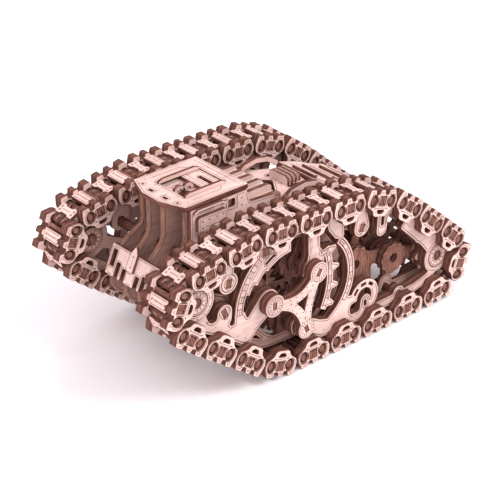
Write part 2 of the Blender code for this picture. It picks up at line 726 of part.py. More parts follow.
def gear_train(mat):
    pa = 7.5
    pb = phase_for(A, B, TEETH_A, pa, TEETH_B)
    pc = phase_for(A, C, TEETH_A, pa, TEETH_C)
    pb2 = 0.0
    pd = phase_for(B, D, TEETH_B2, pb2, TEETH_D)
    pe = phase_for(D, E, TEETH_D, pd, TEETH_E)
    pe2 = 0.0
    pr = phase_for(E, REAR, TEETH_E2, pe2, TEETH_R)
    gear("gear_motor", A, TEETH_A, pa, PLANE_1, mat)
    gear("pinion_upper", B, TEETH_B, pb, PLANE_1, mat)
    gear("pinion_lower", C, TEETH_C, pc, PLANE_1, mat)
    gear("gear_upper", B, TEETH_B2, pb2, PLANE_2, mat)
    gear("gear_middle", D, TEETH_D, pd, PLANE_2, mat)
    gear("pinion_rear", E, TEETH_E, pe, PLANE_2, mat)
    gear("gear_rear", E, TEETH_E2, pe2, PLANE_3, mat)
    gear("gear_drive", REAR, TEETH_R, pr, PLANE_3, mat)


def turning(mat, dark):
    shaft("shaft_motor", A, -Y_EDGE, Y_EDGE, dark)
    shaft("shaft_upper", B, -Y_EDGE, Y_EDGE, dark)
    shaft("shaft_lower", C, -Y_EDGE, Y_EDGE, dark)
    shaft("shaft_middle", D, -Y_FRAME_IN - T - 1.5, Y_FRAME_IN + T + 1.5, dark)
    shaft("shaft_rear", E, -Y_FRAME_IN - T - 1.5, Y_FRAME_IN + T + 1.5, dark)
    reach = Y_FRAME_OUT + 2 * T
    for s in (1, -1):
        shaft(name_s("axle_front", s), FRONT, *span(s, 30.0, reach), dark)
    shaft("axle_rear", REAR, -reach, reach, dark)
    for s in (1, -1):
        cap = circle((0, 0), 9.5)
        wheel(name_s("cap_front", s), FRONT, cap, *span(s, reach - T + 0.2, reach), mat)
        wheel(name_s("cap_rear", s), REAR, cap, *span(s, reach - T + 0.2, reach), mat)
        y0, y1 = span(s, Y_FRAME_IN + T + 0.9, Y_FRAME_OUT - 0.9)
        wheel(name_s("sprocket_front", s), FRONT, lobed(14.6, 18.4, 8, 2), y0, y1, mat)
        wheel(name_s("sprocket_rear", s), REAR, lobed(12.8, 16.6, 8, 2), y0, y1, mat)
    drum = wheel_body("drum_motor", A, mat)
    return drum


def wheel_body(name, at, mat):
    """Winding drum on the motor shaft: a core between two flanges."""
    core = sheet(circle(at, 8.0), -6.0, 6.0)
    ends = [sheet(circle(at, 14.0), -6.0, -3.0), sheet(circle(at, 14.0), 3.0, 6.0)]
    me = combine(core, ends, "UNION")
    me = combine(me, [sheet(circle(at, SHAFT_R + 0.15, 12, 15), -8, 8)], "DIFFERENCE")
    return put(name, me, mat, (at[0], 0, at[1]))


def cross_bars(mat):
    """Three bars run right across; the other two only join one side's two frames."""
    reach = Y_FRAME_OUT + 2 * T
    for name, (c, w, h, deg) in BARS.items():
        if name in ("bar_node", "bar_knob"):
            for s in (1, -1):
                put(name_s(name, s), sheet(box2(c, w, h, deg), *span(s, Y_FRAME_IN, reach)), mat)
        else:
            put(name, sheet(box2(c, w, h, deg), -reach, reach), mat)


# ------------------------------------------------------------------ hull
RIB_OUT, RIB_IN = 24.6, 8.2          # middles of the four lengthwise ribs
DECK_TOP = ZC + 75.0


def rib(name, y, front_x, mat):
    """Lengthwise rib: upright cab front, sweep out to the nose, curved belly."""
    top = DECK_TOP - T - 0.3
    prof = [(front_x, top), (front_x, ZC + 47), (front_x + 2.0, ZC + 41), (110, ZC + 34.5),
            (116.6, ZC + 29), (124.6, ZC + 10), (126, ZC + 1), (122, ZC - 7), (112, ZC - 14),
            (96, ZC - 20), (70, ZC - 30), (40, ZC - 37.7), (-70, ZC - 37.7), (-104, ZC - 29),
            (-111, ZC - 10), (-106, ZC + 12), (-88, ZC + 24), (-40, ZC + 41.5),
            (-32, ZC + 42.6), (2, ZC + 42.6), (4, ZC + 55.5), (40, ZC + 56), (41.5, top)]
    if abs(y) < 20:
        prof += [(45, top), (45, top - 4.4), (92, top - 4.4), (92, top)]
    holes = [circle(p, BORE_R + 1.2, 8) for p in (A, B, C, D, E)]
    for k in ("bar_lobe", "bar_slot", "bar_node", "bar_diamond"):
        (cx, cz), w, h, deg = BARS[k]
        holes.append(box2((cx, cz), w + 0.6, h + 0.6, deg))
    holes.append(rounded([(101, ZC + 22), (101, ZC + 6), (86, ZC + 18), (90, ZC + 22)], 2, 40))
    return put(name, fused([prof], y - T / 2, y + T / 2, holes), mat)


def hull(mat, face):
    rib("rib_outer_left", RIB_OUT, 95.6, mat)
    rib("rib_inner_left", RIB_IN, 102.6, mat)
    rib("rib_inner_right", -RIB_IN, 102.6, mat)
    rib("rib_outer_right", -RIB_OUT, 95.6, mat)
    hw = RIB_OUT + T / 2 + 0.3
    roof = [(106, -9.5), (106, 9.5), (98, hw + 3.2), (39, hw + 3.2), (39, -hw - 3.2),
            (98, -hw - 3.2)]
    opening = [(88, -16), (88, 16), (50, 16), (50, -16)]
    tenons = [box2((99, y), 2.6, 5.0) for y in (RIB_IN, -RIB_IN)]
    put("roof_plate", sheet(roof, DECK_TOP - T, DECK_TOP, "XY", [opening, *tenons]), face)
    floor = [(91, -18.5), (91, 18.5), (46, 18.5), (46, -18.5)]
    pits = [rounded([(83, 2), (83, 13), (71, 13), (71, 8), (76, 2)], 1.5, 45)]
    put("hatch_floor", sheet(floor, DECK_TOP - 2 * T - 0.4, DECK_TOP - T - 0.4, "XY", pits), face)
    bridge = [(68, -15.6), (68, 15.6), (50.4, 15.6), (50.4, -15.6)]
    put("hatch_bridge", sheet(bridge, DECK_TOP - T, DECK_TOP - 0.6, "XY",
                              [box2((58, 4), 3.2, 15)]), face)
    nose_plate(face)
    for s in (1, -1):
        y0, y1 = span(s, hw, hw + T)
        panel = rounded([(62.5, ZC + 52.5), (90, ZC + 52.5), (90, ZC + 65.2),
                         (62.5, ZC + 65.2)], 2.6, 30)
        put(name_s("side_panel", s), sheet(panel, *span(s, hw + T + 0.2, hw + 2 * T), "XZ"), face)
        wall = [(94, ZC + 44), (94, DECK_TOP - T - 0.2), (41, DECK_TOP - T - 0.2),
                (38, ZC + 60), (14, ZC + 58), (10, ZC + 47), (20, ZC + 40), (78, ZC + 40)]
        vent = box2((55.6, ZC + 65.0), 6.4, 6.4)
        slot = box2((80, ZC + 68.4), 13, 1.8)
        put(name_s("cab_wall", s), sheet(wall, y0, y1, "XZ", [vent, slot]), face)
    floor = [(40, -22.3), (40, 22.3), (-70, 22.3), (-70, -22.3)]
    put("hull_floor", sheet(floor, ZC - 42.0, ZC - 38.2, "XY"), mat)
    grille(mat)
    engine = [(1.6, -28), (1.6, 28), (-14, 28), (-33, 17), (-37, 0), (-33, -17), (-14, -28)]
    holes = [[(-3, -17), (-3, 13), (-15, -4)]]
    holes += [rounded(box2((-21.5, y), 9.5, 3.2), 1.5, 45) for y in (-12.0, -4.0, 4.0, 12.0)]
    put("engine_plate", sheet(engine, ZC + 43.0, ZC + 43.0 + T, "XY", holes), face)
    rear_deck(face)


def nose_plate(mat):
    """Sloped front plate with a comb of slots; it leans back by 24 degrees."""
    w, h = 27.0, 23.5
    edge = [(-w, 0), (-w, h), (w, h), (w, 0)]
    holes = []
    for s in (1, -1):
        holes.append(box2((s * 22.4, 13.2), 4.2, 13.6))
        for y, top in ((15.6, 14.0), (8.8, 11.4), (2.6, 9.0)):
            holes.append(box2((s * y, top - 3.8), 3.4, 10.0))
    me = sheet(edge, 0, T, "YZ", holes)
    me.transform(Matrix.Rotation(math.radians(-24), 4, "Y"))
    me.transform(Matrix.Translation(Vector((126.4, 0, ZC + 9.2)) * MM))
    put("nose_plate", me, mat)


def grille(mat):
    """Five lengthwise slats on two cross strips behind the cab, one comb-like piece."""
    z0, z1 = ZC + 56.3, ZC + 60.1
    shapes = [box2((24, y), 31, 4.2) for y in (-20, -10, 0, 10, 20)]
    shapes += [box2((12.0, 0), 4, 44), box2((36.0, 0), 4, 44)]
    put("engine_grille", fused(shapes, z0, z1, plane="XY"), mat)


def rear_deck(mat):
    """Rear deck: a sheet that falls away to the back between the tracks."""
    shape = [(0, -26), (0, 26), (-22, 30), (-36, 26), (-52, 26), (-52, -26), (-36, -26),
             (-22, -30)]
    holes = [box2((-12, 0), 3, 8), box2((-30, 10), 3, 6), box2((-30, -10), 3, 6)]
    me = sheet(shape, 0, T, "XY", holes)
    me.transform(Matrix.Rotation(math.radians(-20.2), 4, "Y"))
    me.transform(Matrix.Translation(Vector((-39.6, 0, ZC + 42.6)) * MM))
    put("rear_deck", me, mat)


def main():
    setup()
    face = plywood("plywood_face", (0.80, 0.60, 0.52), 0.62)
    core = plywood("plywood_core", (0.62, 0.42, 0.34), 0.68)
    dark = plywood("plywood_burnt", (0.30, 0.15, 0.11), 0.72)
    track("track_left", 1, face)
    track("track_right", -1, face)
    for s in (1, -1):
        frame_front(s, face)
        frame_rear(s, face)
        frame_inner(s, core)
        tri_arm(s, face)
    turning(face, dark)
    gear_train(core)
    cross_bars(dark)
    hull(core, face)


main()
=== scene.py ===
"""Looks of the tracked tank chassis: laser-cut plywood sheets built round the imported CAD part.

+X is forward, +Y is the near side, +Z is up. Lengths below are millimetres.
"""

import math

import bmesh
import bpy
from mathutils import Matrix, Vector
from mathutils.geometry import delaunay_2d_cdt


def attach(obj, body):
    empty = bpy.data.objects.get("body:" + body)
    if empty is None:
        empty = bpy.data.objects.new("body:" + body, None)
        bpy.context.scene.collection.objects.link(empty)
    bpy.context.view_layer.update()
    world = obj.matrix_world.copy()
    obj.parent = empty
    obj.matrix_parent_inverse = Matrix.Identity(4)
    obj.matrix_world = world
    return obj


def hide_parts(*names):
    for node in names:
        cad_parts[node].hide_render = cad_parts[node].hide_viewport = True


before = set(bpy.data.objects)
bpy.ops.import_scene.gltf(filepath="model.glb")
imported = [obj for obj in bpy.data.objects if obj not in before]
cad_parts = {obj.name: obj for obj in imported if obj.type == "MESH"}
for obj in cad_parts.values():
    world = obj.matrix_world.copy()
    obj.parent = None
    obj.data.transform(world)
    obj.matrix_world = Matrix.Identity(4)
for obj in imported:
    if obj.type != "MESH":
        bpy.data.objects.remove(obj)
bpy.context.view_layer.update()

MM = 0.001
SKEW = 0.413               # outlines are filled at an angle, so no edges lie level
T = 3.8                    # one sheet of plywood
SHIFT = -0.91              # drawing x to frame x
ZC = 65.79                 # height of the middle of the track loop
Y_SHOE_IN, Y_FRAME_IN, Y_FRAME_OUT, Y_SHOE_OUT, Y_EDGE = 45.4, 53.4, 64.4, 72.4, 80.0
HOLE_PITCH, LINK_RATIO, SHOES = 19.0, 0.773, 20
FIRST_PIN = (146.5, ZC + 23.2)
LOOP = [((55.1, -56.2), 63.0), ((180.3, 36.8), 23.4), ((69.8, 57.9), 88.0),
        ((-60.5, 52.5), 100.0), ((-178.9, -49.6), 23.4), ((-108.9, -56.2), 130.0)]
MODULE = 2.5
FRONT, REAR = (123.3, ZC + 25.3), (-123.3, ZC - 27.0)
SHAFT_R = 4.0
SEAM = 33.3
DECK_TOP = ZC + 75.0
RIB_OUT, RIB_IN = 24.6, 8.2
CAB_HALF = RIB_OUT + T / 2 + 0.3           # half the width between the cab's walls
Y_FACE = Y_FRAME_OUT + 2 * T               # outer face of the outer frames
PIN_X = HOLE_PITCH / 2
CAP_BORE, CAP_R = 9.9, 9.4                 # counterbore in the outer frames, and its cap
INK_LIFT = 0.04                            # engraved marks stand this far off a face
STUB = 49.6                                # inner end of the front wheels' short axles
# The fifth slot holds real char on cut ends, and painted shade on drums, straps, a plank and
# walls set deep inside.
FACE, RIM, WALL, INK, DARK_CHAR_AND_SHADE = range(5)      # material slots of every mesh


def polar(c, r, deg):
    a = math.radians(deg)
    return (c[0] + r * math.cos(a), c[1] + r * math.sin(a))


def centre(p, q, rp, rq, side):
    """The point rp from p and rq from q, on one side of the line p to q."""
    d = math.dist(p, q)
    a = (rp * rp - rq * rq + d * d) / (2 * d)
    h = side * math.sqrt(max(rp * rp - a * a, 0.0))
    ux, uz = (q[0] - p[0]) / d, (q[1] - p[1]) / d
    return (p[0] + a * ux - h * uz, p[1] + a * uz + h * ux)


TEETH_A, TEETH_B, TEETH_C, TEETH_B2, TEETH_D = 24, 12, 12, 24, 22
TEETH_E, TEETH_E2, TEETH_R = 12, 14, 20
A = (57.0, ZC + 0.5)
B = polar(A, MODULE * (TEETH_A + TEETH_B) / 2, 165)
C = polar(A, MODULE * (TEETH_A + TEETH_C) / 2, 225)
D = polar(B, MODULE * (TEETH_B2 + TEETH_D) / 2, 200.9)
E = centre(D, REAR, MODULE * (TEETH_D + TEETH_E) / 2, MODULE * (TEETH_E2 + TEETH_R) / 2, 1)
PLANE_1, PLANE_2, PLANE_3 = 40.6, 35.6, 30.6      # inner faces of the gear sheets

# Square bars that tie the sheets together: centre, width, height, turn
BARS = {
    "bar_lobe": ((94.0, ZC + 30.0), 4.4, 6.4, 12),
    "bar_slot": ((98.0, ZC + 7.0), 3.8, 7.6, -22),
    "bar_node": ((59.0, ZC + 43.0), 6.0, 6.6, 0),
    "bar_diamond": ((-37.5, ZC + 28.0), 4.4, 6.0, 20),
    "bar_knob": ((-80.0, ZC - 45.5), 4.4, 5.0, 30),
}


def circle(c, r, n=40, start=0.0):
    return [polar(c, r, start + 360.0 * i / n) for i in range(n)]


def capsule(p, q, r, n=12, r2=None):
    """Round-ended bar from p to q; r2 gives the far end its own radius."""
    r2 = r if r2 is None else r2
    a = math.degrees(math.atan2(q[1] - p[1], q[0] - p[0]))
    return ([polar(q, r2, a - 90 + 180 * i / n) for i in range(n + 1)]
            + [polar(p, r, a + 90 + 180 * i / n) for i in range(n + 1)])


def sector(c, r0, r1, a0, a1, n):
    return ([polar(c, r1, a0 + (a1 - a0) * i / n) for i in range(n + 1)]
            + [polar(c, r0, a1 + (a0 - a1) * i / n) for i in range(n + 1)])


def box2(c, w, h, deg=0.0):
    a = math.radians(deg)
    out = []
    for sx, sz in ((-1, -1), (1, -1), (1, 1), (-1, 1)):
        x, z = sx * w / 2, sz * h / 2
        out.append((c[0] + x * math.cos(a) - z * math.sin(a),
                    c[1] + x * math.sin(a) + z * math.cos(a)))
    return out


def ribbon(points, w):
    """A band of width w that follows a line of points, mitred at the bends."""
    left, right = [], []
    for i, p in enumerate(points):
        a = points[max(i - 1, 0)]
        b = points[min(i + 1, len(points) - 1)]
        d = math.atan2(b[1] - a[1], b[0] - a[0])
        k = 1.0
        if 0 < i < len(points) - 1:
            d1 = math.atan2(p[1] - a[1], p[0] - a[0])
            d2 = math.atan2(b[1] - p[1], b[0] - p[0])
            turn = (d2 - d1 + math.pi) % (2 * math.pi) - math.pi
            d, k = d1 + turn / 2, 1.0 / math.cos(turn / 2)
        nx, nz = -math.sin(d) * w / 2 * k, math.cos(d) * w / 2 * k
        left.append((p[0] + nx, p[1] + nz))
        right.append((p[0] - nx, p[1] - nz))
    return left + right[::-1]


def rounded(points, radii, step=9.0):
    """Round every corner of a closed outline with its own radius."""
    out = []
    n = len(points)
    for i in range(n):
        p, a, b = Vector(points[i]), Vector(points[i - 1]), Vector(points[(i + 1) % n])
        u, v = (a - p).normalized(), (b - p).normalized()
        ang = u.angle(v)
        r = radii[i] if isinstance(radii, (list, tuple)) else radii
        if r <= 0 or ang > math.radians(179):
            out.append(tuple(p))
            continue
        c = p + (u + v).normalized() * (r / math.sin(ang / 2))
        t = r / math.tan(ang / 2)
        s, e = p + u * t - c, p + v * t - c
        a0 = math.atan2(s.y, s.x)
        sweep = (math.atan2(e.y, e.x) - a0 + math.pi) % (2 * math.pi) - math.pi
        k = max(2, int(round(abs(math.degrees(sweep)) / step)))
        out += [(c.x + r * math.cos(a0 + sweep * j / k), c.y + r * math.sin(a0 + sweep * j / k))
                for j in range(k + 1)]
    return out


def gear_outline(teeth, phase=0.0, backlash=0.5):
    """Straight-sided teeth with rounded-off tips, drawn about (0, 0)."""
    r = MODULE * teeth / 2
    tip, root = r + 0.86 * MODULE, r - 1.12 * MODULE
    half = 90.0 / teeth - math.degrees(backlash / 2 / r)
    base = r * math.cos(math.radians(20))
    out = []

    def inv(rad):
        t = math.acos(min(1.0, base / rad))
        return math.degrees(math.tan(t) - t)

    for i in range(teeth):
        a = phase + 360.0 * i / teeth
        rows = [(root, half + inv(r) - inv(max(root, base))), (tip, half + inv(r) - inv(tip))]
        out += [polar((0, 0), q, a - w) for q, w in rows]
        out += [polar((0, 0), q, a + w) for q, w in rows[::-1]]
    return out


def signed_area(pts):
    return sum(a[0] * b[1] - b[0] * a[1] for a, b in zip(pts, pts[1:] + pts[:1])) / 2


def merged(shapes, holes=()):
    """Boundary loops of the union of some outlines, less the holes."""
    verts, faces = [], []
    for pts in [*shapes, *holes]:
        pts = pts if signed_area(pts) > 0 else pts[::-1]
        faces.append(list(range(len(verts), len(verts) + len(pts))))
        verts += [Vector(p) for p in pts]
    co, _, tris, _, _, origin = delaunay_2d_cdt(verts, [], faces, 1, 2e-3)
    solid = len(shapes)
    follow = {}
    for tri, src in zip(tris, origin):
        if any(i < solid for i in src) and not any(i >= solid for i in src):
            for a, b in zip(tri, tri[1:] + tri[:1]):
                if b in follow.get(a, ()):
                    continue
                if a in follow.get(b, ()):
                    follow[b].remove(a)
                else:
                    follow.setdefault(a, []).append(b)
    loops = []
    while any(follow.values()):
        a = min(k for k, v in follow.items() if v)
        loop, b = [a], follow[a].pop()
        while b != loop[0]:
            loop.append(b)
            b = follow[b].pop()
        pts = [tuple(co[i]) for i in loop]
        loops.append(straightened(pts))
    return [q for q in loops if abs(signed_area(q)) > 0.4]


def straightened(pts):
    """Drop points that lie on the line between their neighbours."""
    out = []
    for i, p in enumerate(pts):
        a, b = out[-1] if out else pts[i - 1], pts[(i + 1) % len(pts)]
        cross = (p[0] - a[0]) * (b[1] - p[1]) - (p[1] - a[1]) * (b[0] - p[0])
        if abs(cross) > 0.012 * max(math.dist(a, b), 0.5):
            out.append(p)
    return out


def inset_loop(d, step=15.0):
    """The pin line moved inwards by d, counter-clockwise seen from the right."""
    pts = [Vector(p) for p, _ in LOOP]
    moved = []
    for i, p in enumerate(pts):
        u = (p - pts[i - 1]).normalized()
        v = (pts[(i + 1) % len(pts)] - p).normalized()
        m = Vector((-u.y - v.y, u.x + v.x)).normalized()
        moved.append(tuple(p + m * (d / m.dot(Vector((-u.y, u.x))))))
    return [(x, z + ZC) for x, z in rounded(moved, [r - d for _, r in LOOP], step)]


def rim(d0, d1, keep):
    """Short pieces of a band between two insets of the loop, where keep(x, z) holds."""
    o, q = inset_loop(d0), inset_loop(d1)
    n = len(o)
    out = []
    for i in range(n):
        j = (i + 1) % n
        steps = max(1, round(math.dist(o[i], o[j]) / 12))
        for k in range(steps):
            a, b = k / steps, (k + 1) / steps
            quad = [lerp(o[i], o[j], a), lerp(o[i], o[j], b), lerp(q[i], q[j], b),
                    lerp(q[i], q[j], a)]
            if keep(sum(c[0] for c in quad) / 4, sum(c[1] for c in quad) / 4 - ZC):
                out.append(quad)
    return out


def walk(path, start, chord):
    """Next place on the closed path whose straight distance is chord."""
    n = len(path)
    seg, t = start
    p = lerp(path[seg], path[(seg + 1) % n], t)
    i, lo = seg, t
    for _ in range(n):
        a, b = path[i], path[(i + 1) % n]
        if math.dist(b, p) >= chord:
            hi = 1.0
            for _ in range(40):
                m = (lo + hi) / 2
                if math.dist(lerp(a, b, m), p) < chord:
                    lo = m
                else:
                    hi = m
            return (i, hi), lerp(a, b, hi)
        i, lo = (i + 1) % n, 0.0
    return (i, 0.0), p


def lerp(a, b, t):
    return (a[0] + (b[0] - a[0]) * t, a[1] + (b[1] - a[1]) * t)


def shoe_pins():
    """Pin pairs of the twenty shoes; the pitch is trimmed until the loop closes."""
    path = inset_loop(0.0, 3.0)
    n = len(path)
    k = min(range(n), key=lambda i: off_line(FIRST_PIN, path[i], path[(i + 1) % n]))
    path = [on_line(FIRST_PIN, path[k], path[(k + 1) % n])] + path[k + 1:] + path[:k + 1]
    n = len(path)
    whole = sum(math.dist(path[i], path[(i + 1) % n]) for i in range(n))

    def run(pitch):
        at = (0, 0.0)
        out, gone = [], 0.0
        p = path[0]
        for _ in range(SHOES):
            at2, q = walk(path, at, pitch)
            out.append((p, q))
            gone += along(path, at, at2)
            at3, p = walk(path, at2, pitch * LINK_RATIO)
            gone += along(path, at2, at3)
            at = at3
        return out, gone

    lo, hi = HOLE_PITCH * 0.9, HOLE_PITCH * 1.1
    for _ in range(40):
        mid = (lo + hi) / 2
        if run(mid)[1] < whole:
            lo = mid
        else:
            hi = mid
    return run(lo)[0]


def on_line(p, a, b):
    t = (((p[0] - a[0]) * (b[0] - a[0]) + (p[1] - a[1]) * (b[1] - a[1]))
         / math.dist(a, b) ** 2)
    return lerp(a, b, t)


def off_line(p, a, b):
    """How much longer the way from a to b is by p."""
    return math.dist(a, p) + math.dist(p, b) - math.dist(a, b)


def along(path, a, b):
    n = len(path)
    (i, t), (j, u) = a, b
    if i == j and u >= t:
        return math.dist(path[i], path[(i + 1) % n]) * (u - t)
    d = math.dist(path[i], path[(i + 1) % n]) * (1 - t)
    i = (i + 1) % n
    while i != j:
        d += math.dist(path[i], path[(i + 1) % n])
        i = (i + 1) % n
    return d + math.dist(path[i], path[(i + 1) % n]) * u


def phase_for(p, q, teeth_p, phase_p, teeth_q):
    """Turn the second gear so that its gap sits on the first gear's tooth."""
    d = math.degrees(math.atan2(q[1] - p[1], q[0] - p[0]))
    frac = ((d - phase_p) * teeth_p / 360.0) % 1.0
    return d + 180.0 + (frac + 0.5) * 360.0 / teeth_q


def lobed(r0, r1, n, steps=4):
    """Sprocket outline: n rounded lobes between the radii r0 and r1."""
    k = n * steps * 2
    return [polar((0, 0), r0 + (r1 - r0) * (0.5 + 0.5 * math.cos(2 * math.pi * i / (steps * 2)))
                  ** 0.8, 360 * i / k) for i in range(k)]


# ------------------------------------------------------------------ finishes
def material(name, specular):
    m = bpy.data.materials.new(name)
    m.use_nodes = True
    b = m.node_tree.nodes["Principled BSDF"]
    b.inputs["Specular IOR Level"].default_value = specular
    return m, m.node_tree, b


def noise(nt, scale, detail, roughness):
    """Noise in the object's own axes, stretched by scale."""
    tc = nt.nodes.new("ShaderNodeTexCoord")
    mp = nt.nodes.new("ShaderNodeMapping")
    mp.inputs["Scale"].default_value = scale
    nt.links.new(tc.outputs["Object"], mp.inputs["Vector"])
    n = nt.nodes.new("ShaderNodeTexNoise")
    n.inputs["Scale"].default_value = 1.0
    n.inputs["Detail"].default_value = detail
    n.inputs["Roughness"].default_value = roughness
    nt.links.new(mp.outputs["Vector"], n.inputs["Vector"])
    return n.outputs["Fac"]


def ramp(nt, fac, *stops):
    r = nt.nodes.new("ShaderNodeValToRGB")
    for e, (at, c) in zip(r.color_ramp.elements, stops):
        e.position = at
        e.color = (*c, 1.0)
    nt.links.new(fac, r.inputs["Fac"])
    return r.outputs["Color"]


def multiply(nt, amount, a, c):
    x = nt.nodes.new("ShaderNodeMixRGB")
    x.blend_type = "MULTIPLY"
    x.inputs["Fac"].default_value = amount
    nt.links.new(a, x.inputs["Color1"])
    nt.links.new(c, x.inputs["Color2"])
    return x.outputs["Color"]


def finish(nt, b, colour, rough, height, strength):
    """Wire a colour, a roughness and a relief into the shader b."""
    nt.links.new(colour, b.inputs["Base Color"])
    nt.links.new(rough, b.inputs["Roughness"])
    bp = nt.nodes.new("ShaderNodeBump")
    bp.inputs["Strength"].default_value = strength
    bp.inputs["Distance"].default_value = RELIEF
    nt.links.new(height, bp.inputs["Height"])
    nt.links.new(bp.outputs["Normal"], b.inputs["Normal"])


def wood(name, light, mid, pore, rough):
    """Sawn plywood: long grain, darker pores and slow colour drift."""
    m, nt, b = material(name, 0.25)
    fibre = noise(nt, GRAIN, 6.0, 0.62)
    base = ramp(nt, fibre, (0.32, mid), (0.56, light))
    fine = noise(nt, (GRAIN[0] * 5, GRAIN[1] * 6, GRAIN[2] * 6), 3.0, 0.55)
    pores = ramp(nt, fine, (0.36, pore), (0.47, (1, 1, 1)))
    drift = ramp(nt, noise(nt, (22, 22, 22), 3.0, 0.5), (0.30, (0.75,) * 3), (0.62, (1, 1, 1)))
    colour = multiply(nt, 1.0, multiply(nt, 0.55, base, pores), drift)
    shine = ramp(nt, fibre, (0.3, (rough + 0.1,) * 3), (0.7, (rough - 0.06,) * 3))
    finish(nt, b, colour, shine, fibre, 0.10)
    return m


def burnt(name, dark, light, axis):
    """Laser-cut edge: charred brown, with the plies showing as faint layers."""
    m, nt, b = material(name, 0.2)
    layers = [90.0, 90.0, 90.0]
    layers[axis] = 900.0
    char = noise(nt, layers, 5.0, 0.6)
    colour = ramp(nt, char, (0.36, dark), (0.66, light))
    shine = ramp(nt, char, (0.0, (0.62,) * 3), (1.0, (0.86,) * 3))
    finish(nt, b, colour, shine, char, 0.25)
    return m


GRAIN = (26, 300, 300)     # noise cycles per metre, long along X
RELIEF = 0.0004
PLY = wood("plywood_face", (0.82, 0.61, 0.55), (0.72, 0.50, 0.44), (0.84, 0.66, 0.60), 0.62)
# Plywood of the inner frames, painted darker than the outer sheets to stand for the shade inside
# the hull.
INNER_PAINTED_SHADE = wood("plywood_core", (0.66, 0.43, 0.36), (0.52, 0.32, 0.26), (0.76, 0.60, 0.54), 0.66)
SCORCH = burnt("scorched_rim", (0.14, 0.055, 0.038), (0.34, 0.17, 0.125), 1)
EDGE_Y = burnt("burnt_edge_y", (0.060, 0.021, 0.016), (0.205, 0.082, 0.058), 1)
EDGE_Z = burnt("burnt_edge_z", (0.060, 0.021, 0.016), (0.205, 0.082, 0.058), 2)
LINE = burnt("engraving", (0.07, 0.022, 0.016), (0.20, 0.085, 0.06), 1)
# Dark brown for charred cut ends, and also painted shade: drums, inner straps, a recessed plank
# and gearbox walls take it for the gloom inside the hull.
CHAR_AND_PAINTED_SHADE = burnt("charred_face_and_painted_shade", (0.10, 0.040, 0.029), (0.32, 0.15, 0.108), 0)
SKIN = [PLY, SCORCH, EDGE_Y, LINE, CHAR_AND_PAINTED_SHADE]
SKIN_Z = [PLY, SCORCH, EDGE_Z, LINE, CHAR_AND_PAINTED_SHADE]
# Gear faces, painted dark brown to stand for the shade inside the gearbox.
GEAR_PAINTED_SHADE = wood("plywood_painted_shade", (0.34, 0.185, 0.14), (0.24, 0.12, 0.09), (0.74, 0.58, 0.5), 0.7)
# Cut edges of the ribs, painted lighter than the other edges to stand for light on their front
# edges.
RIB_EDGE_PAINTED_LIGHT = burnt("rib_edge_painted_light_y", (0.13, 0.056, 0.038), (0.36, 0.19, 0.13), 1)
# Rib faces, painted dark mauve to stand for the shade between the ribs.
RIB_PAINTED_SHADE = wood("plywood_rib_painted_shade", (0.47, 0.29, 0.245), (0.36, 0.21, 0.175), (0.74, 0.60, 0.54), 0.68)
SKIN_RIB = [RIB_PAINTED_SHADE, SCORCH, RIB_EDGE_PAINTED_LIGHT, LINE, CHAR_AND_PAINTED_SHADE]
SKIN_GEAR = [GEAR_PAINTED_SHADE, SCORCH, EDGE_Y, LINE, CHAR_AND_PAINTED_SHADE]
SKIN_INNER_SHADE = [INNER_PAINTED_SHADE, SCORCH, EDGE_Y, LINE, CHAR_AND_PAINTED_SHADE]


# ------------------------------------------------------------------ sheets
def axes(plane, mid):
    if plane == "XZ":
        return Matrix(((1, 0, 0, 0), (0, 0, -1, mid), (0, 1, 0, 0), (0, 0, 0, 1)))
    if plane == "XY":
        return Matrix.Translation((0, 0, mid))
    return Matrix(((0, 0, 1, mid), (1, 0, 0, 0), (0, 1, 0, 0), (0, 0, 0, 1)))


def soften(pts, r):
    """Ease every sharp corner of a loop, as far as its neighbours allow."""
    if r <= 0:
        return pts
    out, n = [], len(pts)
    for i, p in enumerate(pts):
        a, b = pts[i - 1], pts[(i + 1) % n]
        la, lb = math.dist(a, p), math.dist(p, b)
        if min(la, lb) < 1e-6:
            continue
        u = ((a[0] - p[0]) / la, (a[1] - p[1]) / la)
        v = ((b[0] - p[0]) / lb, (b[1] - p[1]) / lb)
        turn = math.pi - math.acos(max(-1, min(1, u[0] * v[0] + u[1] * v[1])))
        if turn < math.radians(14):
            out.append(p)
            continue
        t = min(r * math.tan(turn / 2), 0.42 * la, 0.42 * lb)
        s, e = (p[0] + u[0] * t, p[1] + u[1] * t), (p[0] + v[0] * t, p[1] + v[1] * t)
        k = 2 if turn < 0.8 else 4
        for j in range(k + 1):
            w = j / k
            out.append(tuple((1 - w) ** 2 * s[c] + 2 * w * (1 - w) * p[c] + w * w * e[c]
                             for c in (0, 1)))
    return out


def eased(loop, r):
    """Soften outlines and large windows, but leave small slots crisp."""
    return soften(loop, r) if abs(signed_area(loop)) > 90 else loop


